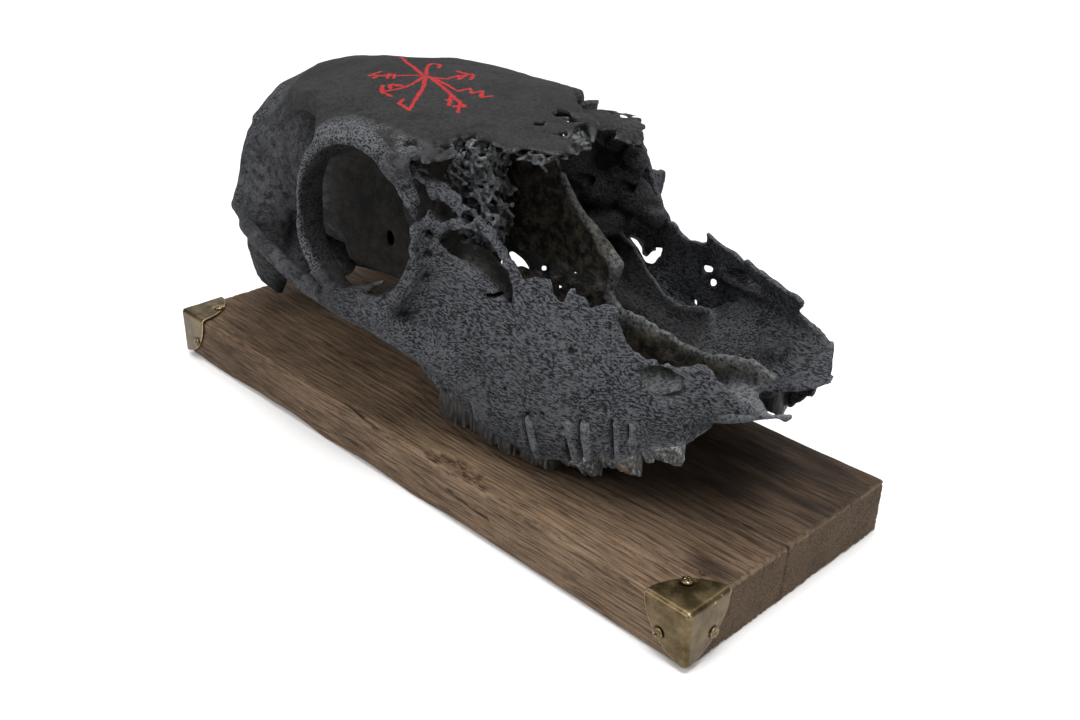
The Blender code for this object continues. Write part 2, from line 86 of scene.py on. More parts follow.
# Half-width of the face at three heights along the head: (x, z) and (x, half-width)
LOW_HEIGHT = [(5, 56), (30, 52), (60, 46), (90, 45), (115, 53), (138, 66), (168, 83)]
LOW_HALF = [(5, 52), (30, 53), (60, 53), (90, 49), (115, 43), (138, 34), (168, 18)]
MID_HEIGHT = [(5, 100), (30, 95), (60, 85), (90, 78), (115, 85), (138, 90), (168, 96)]
MID_HALF = [(5, 72), (30, 64), (60, 58), (90, 54), (115, 44), (138, 34), (168, 27)]
TOP_HEIGHT = [(5, 152), (30, 150), (60, 145), (90, 135), (115, 125), (138, 118), (168, 112)]
TOP_HALF = [(5, 64), (30, 52), (60, 36), (90, 27), (115, 22), (138, 20), (168, 17)]
PALATE_HEIGHT = [(-8, 66), (30, 62), (60, 60), (90, 62), (115, 68), (138, 76), (170, 86)]

# Broken outlines of the two side walls, (x, z)
NEAR_WALL = [
    (14, 70), (22, 54), (40, 50), (60, 45), (84, 42), (94, 43), (108, 49), (116, 53), (124, 58), (134, 64),
    (138, 70), (138, 74), (142, 79), (150, 83), (157, 85), (165, 84), (157, 88), (152, 90), (146, 94),
    (139, 98), (135, 96.5), (130, 95), (125, 95.5), (119, 96), (113, 99), (109, 103), (107, 106),
    (107, 108.5), (104.3, 109), (100, 109.5), (96.4, 108), (92.2, 110.3), (88.5, 112), (87.5, 108),
    (84.6, 107.8), (81.6, 109.6), (79.5, 112.6), (76, 114), (73.4, 114.6), (70.2, 113), (66.5, 115.6),
    (63, 118), (60, 120.2), (57.5, 122.7), (54, 125.8), (50.5, 128.6), (47, 131), (42, 134), (37, 138.4),
    (33, 140), (27, 143), (21, 145), (15, 146), (14, 141), (22, 128), (26, 118), (24, 106), (14, 90),
]
FAR_WALL = [
    (14, 70), (22, 54), (40, 50), (60, 45), (84, 43), (95, 45), (112, 49), (124, 52), (134, 56), (141, 61),
    (145, 66), (148, 68), (147, 74), (154, 78), (152, 84), (148.5, 90), (144, 92), (141, 94), (134, 96),
    (136.5, 102), (133, 104), (126, 104), (118, 104.5), (110, 105), (103, 105), (97, 104), (91, 104.5),
    (86, 104), (80, 105), (76.5, 106.5), (75.5, 101.5), (70, 100), (63, 99.5), (57, 100), (49.5, 103),
    (43.5, 110), (39.5, 119), (36, 130), (32, 138), (22, 141), (14, 140), (12, 132), (20, 124), (24, 116),
    (22, 106), (12, 92),
]
# Outline of the forehead from above, (x, y), near side first
FOREHEAD = [
    (-105, -18), (-95, -32), (-78, -42), (-60, -47), (-42, -55), (-28, -66), (-14, -77), (0, -82),
    (14, -80), (22, -74), (26, -66), (24, -60), (30, -58), (36, -55), (36, -49), (29, -46), (26, -41),
    (31, -37.5), (40, -37.5), (50, -36.5), (52, -33), (56, -31), (63, -29), (64, -24), (66, -20), (61, -16),
    (57, -13), (56, -8), (51, -4), (49, 2), (52, 8), (46, 12), (38, 14), (33, 18), (24, 24), (18, 30),
    (17, 34), (13, 35), (12, 41), (6, 48), (-6, 51), (-17, 50), (-36, 51), (-46, 51), (-60, 47), (-78, 42),
    (-95, 32), (-105, 18),
]
PALATE = [
    (-8, -20), (8, -34), (30, -50), (60, -50), (90, -48), (115, -40), (138, -31), (152, -25), (160, -21),
    (168, -18), (158, -16.5), (150, -10), (143, -3), (141, 3), (145, 8), (155, 12), (162, 15), (156, 22),
    (150, 30), (138, 31), (115, 40), (90, 48), (60, 50), (30, 50), (8, 34), (-8, 20),
]
# The plate that divides the nose, and the keel that stands on the palate below it, (x, z)
DIVIDING_PLATE = [
    (2, 97), (2, 142), (16, 142), (38, 139), (41, 133), (46, 127), (52, 120), (58, 117), (63, 110),
    (70, 106), (73, 102), (71, 98), (67, 94), (48, 94), (32, 95), (17, 96),
]
KEEL = [
    (0, 62), (0, 84), (12, 85), (20, 88), (30, 89), (40, 90), (60, 92), (69, 95), (74, 88), (88, 87),
    (104, 84), (115, 83), (129, 87), (138, 89), (147, 86), (143, 78), (120, 66), (60, 58),
]
NOSE_SCROLL = [
    (8, 66), (8, 92), (26, 93), (33, 97), (41, 92), (47, 83), (57, 76), (67, 73), (83, 77), (92, 72),
    (92, 62), (60, 58),
]
EYE_MIDDLE = (7, 76, 122.5)
EYE_TURN = math.radians(14)
EYE_HALF_LENGTH, EYE_HALF_HEIGHT = 26.0, 29.0

# Name, start x, length, width, how low the crown hangs
CHEEK_TEETH = [
    ("m3", 23.0, 21.2, 14.0, 36.5), ("m2", 44.6, 21.6, 15.0, 36.5), ("m1", 66.6, 18.6, 14.5, 36.5),
    ("p4", 85.6, 15.6, 13.5, 37.6), ("p3", 101.6, 16.0, 13.0, 42.6), ("p2", 118.0, 15.6, 11.0, 51.6),
]
TOOTH_INSET = 9.5
# The broken bone rim over the front teeth of the near side, (x, z)
NEAR_RIM = [
    (82, 43), (88, 45.5), (94, 46.8), (99, 48), (104, 52), (110, 53.8), (114, 54.5), (119, 57.5),
    (124, 61.5), (130, 65), (137, 68),
]
# Where a tooth's root shows in a slot of the near cheek: x, top of the slot, its radius
BARE_ROOTS = [(27, 58, 1.5), (35, 60, 1.4), (50, 58, 1.3), (80, 62, 2.0), (97, 66, 1.6), (103, 67, 2.1),
              (114, 71, 1.3), (120, 72, 1.5)]
ROOT_LEAN = 0.06
# The way of the nerve opening, from the near cheek back into the bone
NERVE_OPENING = [(140, -42, 87), (127, -37.5, 89.5), (112, -31, 88), (98, -27, 84)]


def real(points):
    """Drawn millimetres to metres in the row frame."""
    return (np.asarray(points, float) * SKULL_UNIT + SKULL_PLACE) * MM


def drawn(places):
    """Metres in the row frame to drawn millimetres."""
    return (places / MM - SKULL_PLACE) / SKULL_UNIT


def curve(x, knots):
    """Smooth values at x of a curve through the knots, level beyond its ends."""
    at, value = np.array(knots, float).T
    slope = np.gradient(value, at)
    x = np.clip(x, at[0], at[-1])
    i = np.clip(np.searchsorted(at, x) - 1, 0, len(at) - 2)
    step = at[i + 1] - at[i]
    t = (x - at[i]) / step
    rise = (3 * t**2 - 2 * t**3) * (value[i + 1] - value[i]) + value[i]
    return rise + step * ((t**3 - 2 * t**2 + t) * slope[i] + (t**3 - t**2) * slope[i + 1])


def ramp(value, run=1.0):
    """From 0 to 1 as the value goes from 0 to run."""
    return np.clip(value / run, 0, 1)


def face_half_width(x, z):
    low, mid, top = (curve(x, knots) for knots in (LOW_HEIGHT, MID_HEIGHT, TOP_HEIGHT))
    half_low, half_mid, half_top = (curve(x, knots) for knots in (LOW_HALF, MID_HALF, TOP_HALF))
    z = np.clip(z, low - 6, top + 6)
    return (half_low * (z - mid) * (z - top) / ((low - mid) * (low - top))
            + half_mid * (z - low) * (z - top) / ((mid - low) * (mid - top))
            + half_top * (z - low) * (z - mid) / ((top - low) * (top - mid)))


def forehead_height(x, y):
    side_fall = np.where(y > 0, 4.8, 3.2) * (np.maximum(np.abs(y) - 8, 0) / 34) ** 2
    side_fall = side_fall + 0.0065 * np.maximum(-62 - x, 0) * np.maximum(np.abs(y) - 8, 0)
    return 158 - side_fall - 0.00055 * np.maximum(x + 25, 0) ** 2 - 0.0016 * np.minimum(x + 45, 0) ** 2


def palate_height(x, y):
    flare = np.where(y > 0, 0.026, 0.006) * np.maximum(np.abs(y) - 10, 0) ** 2 * ramp(x - 60, 60)
    return curve(x, PALATE_HEIGHT) + 3 * np.exp(-((y / 7) ** 2)) + flare


def smooth_min(a, b, blend):
    if blend <= 0:
        return np.minimum(a, b)
    near = np.maximum(blend - np.abs(a - b), 0) / blend
    return np.minimum(a, b) - near * near * (blend * 0.25)


def smooth_max(a, b, blend):
    return -smooth_min(-a, -b, blend)


def lattice_noise(axes, scale, seed):
    """Smooth noise from -1 to 1 on a grid of these axes. Its lumps are scale long on each axis."""
    rng = np.random.default_rng(seed)
    shares, counts = [], []
    for at, size in zip(axes, np.broadcast_to(scale, (3,))):
        t = (at - at[0]) / size
        low = np.floor(t).astype(int)
        t = t - low
        t = t * t * (3 - 2 * t)
        share = np.zeros((len(at), low.max() + 2), SINGLE)
        share[np.arange(len(at)), low] = 1 - t
        share[np.arange(len(at)), low + 1] = t
        shares.append(share)
        counts.append(share.shape[1])
    lumps = rng.uniform(-1, 1, counts).astype(SINGLE)
    lumps = np.tensordot(shares[0], lumps, (1, 0))
    lumps = np.einsum("yj,xjk->xyk", shares[1], lumps, optimize=True)
    return np.einsum("zk,xyk->xyz", shares[2], lumps, optimize=True)


def point_noise(points, scale, seed):
    """The same kind of noise at loose points."""
    rng = np.random.default_rng(seed)
    t = np.asarray(points, float) / np.broadcast_to(scale, (3,))
    t = t - t.min(0)
    low = np.floor(t).astype(int)
    t = t - low
    t = t * t * (3 - 2 * t)
    lumps = rng.uniform(-1, 1, low.max(0) + 2)
    total = np.zeros(len(t))
    for corner in np.ndindex(2, 2, 2):
        share = np.prod(np.where(corner, t, 1 - t), axis=1)
        total += share * lumps[tuple((low + corner).T)]
    return total


class Field:
    """Distances to a surface on a grid, below zero inside it."""

    def __init__(self, low, high, cell):
        self.cell = cell
        self.low = np.array(low, float)
        self.axes = [np.arange(low[k], high[k] + cell, cell).astype(SINGLE) for k in range(3)]
        self.value = np.full([len(at) for at in self.axes], 30, SINGLE)

    def region(self, low, high):
        cut, spread = [], []
        for k, at in enumerate(self.axes):
            first, last = np.searchsorted(at, low[k]), np.searchsorted(at, high[k])
            cut.append(slice(int(first), int(last)))
            shape = [1, 1, 1]
            shape[k] = -1
            spread.append(at[int(first):int(last)].reshape(shape))
        return tuple(cut), spread

    def places(self):
        """x, y and z of the whole grid, each lying along its own axis."""
        return [at.reshape([-1 if k == axis else 1 for k in range(3)]) for axis, at in enumerate(self.axes)]

    def join(self, low, high, shape, blend=0.0):
        cut, spread = self.region(low, high)
        self.value[cut] = smooth_min(self.value[cut], shape(*spread).astype(SINGLE), blend)

    def cut(self, low, high, shape, blend=0.0):
        cut, spread = self.region(low, high)
        self.value[cut] = smooth_max(self.value[cut], -shape(*spread).astype(SINGLE), blend)

    def join_rope(self, points, radii, blend=0.0, squash=(1, 1, 1)):
        low, high = rope_box(points, radii, squash, blend)
        self.join(low, high, rope(points, radii, squash), blend)

    def cut_rope(self, points, radii, blend=0.0, squash=(1, 1, 1)):
        low, high = rope_box(points, radii, squash, blend)
        self.cut(low, high, rope(points, radii, squash), blend)


def rope_box(points, radii, squash, blend):
    points = np.array(points, float)
    reach = np.max(radii) * np.array(squash) + blend + 3
    return points.min(0) - reach, points.max(0) + reach


def rope(points, radii, squash=(1, 1, 1)):
    """A rounded bar through the points, its section stretched by squash along each axis."""
    points = np.array(points, float)
    radii = np.broadcast_to(radii, (len(points),)).astype(float)
    shrink = 1 / np.array(squash, float)

    def shape(x, y, z):
        nearest = None
        for a, b, start, end in zip(points, points[1:], radii, radii[1:]):
            along = (b - a) * shrink
            off = [(x - a[0]) * shrink[0], (y - a[1]) * shrink[1], (z - a[2]) * shrink[2]]
            t = off[0] * along[0] + off[1] * along[1] + off[2] * along[2]
            t = ramp(t / max(along @ along, 1e-9))
            away = np.sqrt(sum((o - d * t) ** 2 for o, d in zip(off, along))) - (start + (end - start) * t)
            nearest = away if nearest is None else np.minimum(nearest, away)
        return nearest

    return shape


def ellipsoid(middle, radii):
    def shape(x, y, z):
        off = [x - middle[0], y - middle[1], z - middle[2]]
        near = np.sqrt(sum((o / r) ** 2 for o, r in zip(off, radii)))
        steep = np.sqrt(sum((o / r**2) ** 2 for o, r in zip(off, radii))) + 1e-9
        return near * (near - 1) / steep

    return shape


def outline_distance(outline, u, v):
    """Signed distance to a closed outline in its plane."""
    points = np.array(outline, float)
    nearest = None
    inside = np.zeros(np.broadcast(u, v).shape, bool)
    for a, b in zip(points, np.roll(points, -1, 0)):
        edge = b - a
        du, dv = u - a[0], v - a[1]
        t = ramp((du * edge[0] + dv * edge[1]) / max(edge @ edge, 1e-9))
        square = (du - edge[0] * t) ** 2 + (dv - edge[1] * t) ** 2
        nearest = square if nearest is None else np.minimum(nearest, square)
        left = edge[0] * dv - edge[1] * du
        crossed = ((v >= a[1]) & (v < b[1]) & (left > 0)) | ((v < a[1]) & (v >= b[1]) & (left < 0))
        inside ^= np.broadcast_to(crossed, inside.shape)
    nearest = np.sqrt(nearest)
    return np.where(inside, -nearest, nearest)


def surface_net(value, low, cell):
    """A closed skin of quads where the field is zero."""
    inside = value < 0
    cells = [size - 1 for size in value.shape]
    corners = list(np.ndindex(2, 2, 2))
    count = np.zeros(cells, np.int8)
    for i, j, k in corners:
        count += inside[i:cells[0] + i, j:cells[1] + j, k:cells[2] + k]
    active = (count > 0) & (count < 8)
    number = np.full(active.shape, -1, np.int64)
    places = np.argwhere(active)
    number[active] = np.arange(len(places))
    middle, found = np.zeros((len(places), 3)), np.zeros(len(places))
    for corner in corners:
        for axis in range(3):
            if corner[axis]:
                continue
            other = list(corner)
            other[axis] = 1
            a = value[tuple((places + corner).T)]
            b = value[tuple((places + other).T)]
            crossed = (a < 0) != (b < 0)
            spot = np.repeat(np.array([corner], float), len(places), axis=0)
            spot[:, axis] += np.where(crossed, a / np.where(crossed, a - b, 1), 0)
            middle += np.where(crossed[:, None], spot, 0)
            found += crossed
    points = (places + middle / found[:, None]) * cell + np.array(low)
    quads = []
    for axis in range(3):
        first = [slice(1, size - 1) for size in value.shape]
        second = list(first)
        first[axis] = slice(0, value.shape[axis] - 1)
        second[axis] = slice(1, value.shape[axis])
        a, b = inside[tuple(first)], inside[tuple(second)]
        base = np.argwhere(a != b)
        enters = a[a != b]
        u, v = [k for k in range(3) if k != axis]
        base[:, u] += 1
        base[:, v] += 1
        ring = []
        for du, dv in ((1, 1), (0, 1), (0, 0), (1, 0)):
            spot = base.copy()
            spot[:, u] -= du
            spot[:, v] -= dv
            ring.append(number[tuple(spot.T)])
        quad = np.stack(ring, 1)
        keep = enters if axis != 1 else ~enters
        quad[~keep] = quad[~keep][:, ::-1]
        quads.append(quad)
    return points, np.concatenate(quads)


def part_labels(points, quads):
    """The same number for all points of one connected piece of a skin."""
    label = np.arange(len(points))
    a = np.concatenate([quads[:, k] for k in range(4)])
    b = np.concatenate([quads[:, (k + 1) % 4] for k in range(4)])
    while True:
        low = np.minimum(label[a], label[b])
        fresh = label.copy()
        np.minimum.at(fresh, a, low)
        np.minimum.at(fresh, b, low)
        fresh = fresh[fresh]
        if (fresh == label).all():
            return label
        label = fresh


def kept_part(points, quads, kept):
    number = np.cumsum(kept) - 1
    return points[kept], number[quads[kept[quads[:, 0]]]]


def largest_part(points, quads):
    """The biggest connected piece of a skin, without loose crumbs."""
    label = part_labels(points, quads)
    return kept_part(points, quads, label == np.bincount(label).argmax())


def mesh_object(name, points, faces, smooth=True):
    """A mesh object of points in metres and faces, which are rows of point numbers."""
    mesh = bpy.data.meshes.new(name)
    points, faces = np.asarray(points, SINGLE), np.asarray(faces, np.int32)
    sides = faces.shape[1]
    mesh.vertices.add(len(points))
    mesh.vertices.foreach_set("co", points.ravel())
    mesh.loops.add(faces.size)
    mesh.loops.foreach_set("vertex_index", faces.ravel())
    mesh.polygons.add(len(faces))
    mesh.polygons.foreach_set("loop_start", np.arange(0, faces.size, sides, dtype=np.int32))
    mesh.update(calc_edges=True)
    if mesh_volume(points, faces) < 0:
        mesh.flip_normals()
    if smooth:
        mesh.shade_smooth()
    made = bpy.data.objects.new(name, mesh)
    bpy.context.scene.collection.objects.link(made)
    return made


def mesh_volume(points, faces):
    a = points[faces[:, 0]].astype(float)
    total = 0.0
    for k in range(1, faces.shape[1] - 1):
        total += np.einsum("ij,ij->", a, np.cross(points[faces[:, k]], points[faces[:, k + 1]]))
    return total


def settle(piece):
    """The piece with its modifiers made part of its mesh."""
    graph = bpy.context.evaluated_depsgraph_get()
    mesh = bpy.data.meshes.new_from_object(piece.evaluated_get(graph))
    piece.modifiers.clear()
    piece.data = mesh
    return piece


def thin_out(piece, triangles):
    fewer = piece.modifiers.new("fewer faces", "DECIMATE")
    fewer.ratio = min(1.0, triangles / (2 * len(piece.data.polygons)))
    settle(piece)


def point_places(piece):
    places = np.empty(len(piece.data.vertices) * 3, SINGLE)
    piece.data.vertices.foreach_get("co", places)
    return places.reshape(-1, 3).astype(float)


def keep_in_box(piece):
    """Holds every point of a piece inside the CAD model's box."""
    low, high = np.array(cad_box[0]) + 0.02 * MM, np.array(cad_box[1]) - 0.02 * MM
    piece.data.vertices.foreach_set("co", np.clip(point_places(piece), low, high).astype(SINGLE).ravel())


def add_marks(piece, red, green, blue):
    """Stores three masks of the surface, which the materials read by the name marks."""
    marks = piece.data.attributes.new("marks", "FLOAT_COLOR", "POINT")
    ones = np.ones(len(piece.data.vertices))
    colours = np.stack([np.broadcast_to(ramp(c), ones.shape) for c in (red, green, blue, ones)], 1)
    marks.data.foreach_set("color", colours.astype(SINGLE).ravel())


# Forms of the skull

def eye_places(side, x, y, z):
    """Places as seen from an eye socket: forward, up and outward from its middle."""
    dx, dy, dz = x - EYE_MIDDLE[0], y - side * EYE_MIDDLE[1], z - EYE_MIDDLE[2]
    forward = dx * math.cos(EYE_TURN) - dy * side * math.sin(EYE_TURN)
    outward = dx * math.sin(EYE_TURN) + dy * side * math.cos(EYE_TURN)
    return forward, dz, outward


def side_box(outline, near, far, margin=3):
    """Low and high corners of the box round an outline (x, z), from near to far along y."""
    low, high = np.min(outline, 0) - margin, np.max(outline, 0) + margin
    return (low[0], near, low[1]), (high[0], far, high[1])


def ragged(lumps, crumbs, through, lump_share, crumb_share):
    """How far a broken edge strays. It is alike all the way along the axis that through numbers."""
    return lumps.take([0], through) * lump_share + crumbs.take([0], through) * crumb_share


def grow_head(field):
    field.join((-170, -60, 50), (10, 60, 172), ellipsoid((-72, 0, 114), (60, 45, 43)))
    field.join((-165, -60, 40), (-75, 60, 165), ellipsoid((-109, 0, 103), (26, 45, 39)), 10)

    def inner_block(x, y, z):
        outline = [(-50, -40), (-8, -36), (14, -27), (14, 27), (-8, 36), (-50, 40)]
        return smooth_max(outline_distance(outline, x, y), np.maximum(78 - z, z - 152), 8)

    field.join((-60, -50, 66), (24, 50, 164), inner_block, 8)
    skull_base = [(-130, 0, 65), (-100, 0, 66), (-60, 0, 72), (-20, 0, 78)]
    field.join_rope(skull_base, [11, 13, 12, 12], 6, (1, 1.2, 1))
    for side in (-1, 1):
        field.join_rope(
            [(-114, 0, 142), (-122, side * 18, 137), (-119, side * 35, 127), (-115, side * 45, 113),
             (-117, side * 47, 99), (-122, side * 49, 89), (-108, side * 50, 84), (-96, side * 50, 90)],
            [4.2, 3.6, 3, 3, 3.5, 3, 4, 5], 8)
        field.join_rope(
            [(-107, side * 44, 86), (-112, side * 42, 68), (-118, side * 37, 52), (-120, side * 33, 43)],
            [9, 8.5, 7.2, 3.2], 5, (1.65, 0.6, 1))
        field.join((-106, -44, 50), (-60, 44, 84), ellipsoid((-83, side * 26, 67), (15, 9, 8)), 5)
        # The ear opening behind the root of the cheek arch
        field.cut_rope([(-112, side * 58, 94), (-107, side * 44, 93)], 2.4, 1, (1.4, 1, 1))
        field.join((-125, -56, 70), (-88, 56, 114), ellipsoid((-106, side * 40, 92), (13, 10, 16)), 6)
        field.join((-158, -40, 50), (-114, 40, 92), ellipsoid((-134.5, side * 15, 72), (11.5, 10.5, 13.5)), 4)
        field.join((-125, -50, 48), (-84, 50, 88), ellipsoid((-104, side * 34, 68), (15, 10, 14)), 4)
        wing = [(-30, side * 11, 78), (-20, side * 18, 68), (-14, side * 20, 52)]
        field.join_rope(wing, [9, 7, 2.6], 4, (1, 0.5, 1))
        # The line where the jaw muscle ended, curving back over the braincase
        field.join_rope(
            [(-24, side * 68, 141), (-40, side * 51, 147), (-60, side * 41, 147.5), (-80, side * 32, 145),
             (-100, side * 24, 142), (-114, side * 16, 139)], [3, 2.4, 2.2, 2.0, 2.0, 2.2], 7)


def grow_forehead(field, lumps, crumbs):
    low, high = (-104, -90, 120), (80, 90, 172)
    part, _ = field.region(low, high)

    def forehead(x, y, z):
        edge = outline_distance(FOREHEAD, x, y) + ragged(lumps[part], crumbs[part], 2, 1.6, 1.1) * (x > 12)
        top = z - forehead_height(x, y)
        thick = 1.9 + 7.0 * ramp(34 - x + lumps[part] * 3, 44) * np.clip((84 - np.abs(y)) / 40, 0.4, 1)
        return smooth_max(smooth_max(top, -(top + thick), 2), edge, 2)

    field.join(low, high, forehead, 3.5)
    # A splinter on the broken front edge
    field.join_rope([(46, 10, 152), (52, 4, 152), (60, -4, 151)], [2, 1.6, 0.8], 2)
    # Holes near the broken front edge: outlines in (x, y)
    holes = [
        [(32, 6), (34, 1), (38, -1), (41, 4), (37, 7)],
        [(42, -1), (42, 4), (47, 3), (46, -2)],
        [(37, -12), (40, -9), (44, -14), (40, -16)],
        [(50, -16), (52, -10), (55, -14)],
        [(27, -47), (31, -46), (31, -50), (27, -51)],
        [(29, -39), (32, -38), (32, -41)],
        [(41, -40), (45, -39), (44, -43), (40, -43)],
    ]
    for hole in holes:
        low, high = (*(np.min(hole, 0) - 3), 120), (*(np.max(hole, 0) + 3), 172)
        field.cut(low, high, lambda x, y, z, hole=hole: outline_distance(hole, x, y), 1.2)
    # The nerve hole above the eye, in a shallow groove
    field.cut_rope([(15, -54, 146), (15, -54, 168)], 2.4, 1.5)
    field.cut_rope([(15, -54, 160), (24, -50, 159), (34, -44, 158)], [2.5, 2, 1.5], 3, (1, 1, 0.6))


def grow_face(field, lumps, crumbs, grain):
    for side, outline in ((-1, NEAR_WALL), (1, FAR_WALL)):
        low, high = (0, min(side * 5, side * 90), 36), (172, max(side * 5, side * 90), 160)
        part, _ = field.region(low, high)

        def wall(x, y, z):
            edge = outline_distance(outline, x, z) + ragged(lumps[part], crumbs[part], 1, 1.2, 0.9)
            away = (np.abs(y) - face_half_width(x, z)) * 0.9
            thick = 2.5 + 1.8 * ramp(40 - x, 30) + 0.4 * lumps[part]
            return smooth_max(smooth_max(away, -(away + thick), 1), edge, 1.2)

        field.join(low, high, wall, 2)

        def ridge(x, y, z):
            margin = curve(x, LOW_HEIGHT) + lumps[part][:, :1, :] * 0.8
            half = face_half_width(x, z)
            across = np.maximum(np.abs(y) - half, (face_half_width(x, margin) - 18) - np.abs(y)) * 0.9
            upright = np.maximum(margin - z, z - (margin + 22))
            return smooth_max(smooth_max(across, upright, 4), np.maximum(21 - x, x - 137), 5)

        field.join(low, high, ridge, 3)
        field.join_rope(
            [(-2, side * 76, 88), (18, side * 72, 84), (34, side * 64, 76), (46, side * 58, 68)],
            [5.5, 6.5, 7, 6], 6, (1, 0.6, 1))

    low, high = (-12, -60, 50), (174, 60, 108)
    part, _ = field.region(low, high)

    def palate(x, y, z):
        fray = ramp(x - 100, 30)
        edge = outline_distance(PALATE, x, y) + ragged(lumps[part], crumbs[part], 2, 1.2, 1) * fray
        top = z - palate_height(x, y) - grain[part] * 0.5 * fray
        thick = 3.2 - 1.9 * ramp(x - 148, 14)
        return smooth_max(smooth_max(top, -(top + thick), 1), edge, 0.9)

    field.join(low, high, palate, 4)


def grow_eye_sockets(field):
    for side in (-1, 1):
        def rim(x, y, z):
            forward, up, outward = eye_places(side, x, y, z)
            ring = (np.sqrt((forward / EYE_HALF_LENGTH) ** 2 + (up / EYE_HALF_HEIGHT) ** 2) - 1) * 27
            angle = np.arctan2(up, -forward)
            deep = 6 + 9 * ramp(np.cos(angle * 0.9 - 0.3))
            thick = 2.0 + 4.4 * ramp(-np.sin(angle)) + 3.4 * ramp(np.sin(angle)) ** 2
            thick = thick + 2.2 * ramp(-np.cos(angle))
            band = smooth_max(ring - thick, -ring, 2)
            shape = smooth_max(band, np.maximum(outward - 1.5, -(outward + deep)), 3)
            if side > 0:
                # Only the lower half of the far rim is left
                shape = smooth_max(shape, up - 6 + forward * 0.35, 2)
            return shape

        low = (EYE_MIDDLE[0] - 44, min(side * 45, side * 95), 80)
        high = (EYE_MIDDLE[0] + 44, max(side * 45, side * 95), 162)
        field.join(low, high, rim, 5)

        def hollow(x, y, z):
            forward, up, outward = eye_places(side, x, y, z)
            size = np.clip(1 + outward / 110, 0.4, 1.1)
            ring = np.sqrt((forward / (EYE_HALF_LENGTH * size)) ** 2 + (up / (EYE_HALF_HEIGHT * size)) ** 2)
            return np.maximum((ring - 1) * 24, np.maximum(outward - 10, -(outward + 34)))

        low = (low[0], min(side * 20, side * 95), 80)
        high = (high[0], max(side * 20, side * 95), 162)
        field.cut(low, high, hollow, 2)
        field.join_rope(
            [(-112, side * 47, 84), (-99, side * 58, 88), (-84, side * 66, 92), (-64, side * 72, 92),
             (-44, side * 75, 90), (-24, side * 77, 88), (-4, side * 77, 87), (18, side * 74, 88)],
            [6, 5, 4.2, 4, 4, 4.6, 5, 5.5], 4, (1, 0.75, 1))
        seam = [(-52, side * 78, 90), (-40, side * 80, 88), (-28, side * 81, 87)]
        field.cut_rope(seam, [0.6, 1.1, 0.7], 0, (1, 3, 1))
        # The optic and smaller holes at the bottom of the socket
        field.cut_rope([(-16, side * 34, 112), (-30, side * 20, 108)], 1.8, 1.0)
        field.cut_rope([(-22, side * 36, 98), (-36, side * 20, 94)], 2.2, 1.2, (1, 1, 1.6))
    # The spur in the near socket and the hooked bits on its front edge
    field.join_rope([(4, -75, 94), (11, -73, 97), (17, -70, 101)], [2.2, 1.5, 0.6], 1.5)
    field.join_rope([(22, -63, 142), (18, -61, 145), (15, -60, 145)], [2, 1.4, 0.6], 1)
    field.join_rope([(22, -63, 133), (19, -64, 136), (17, -64, 137)], [1.8, 1.3, 0.6], 1)


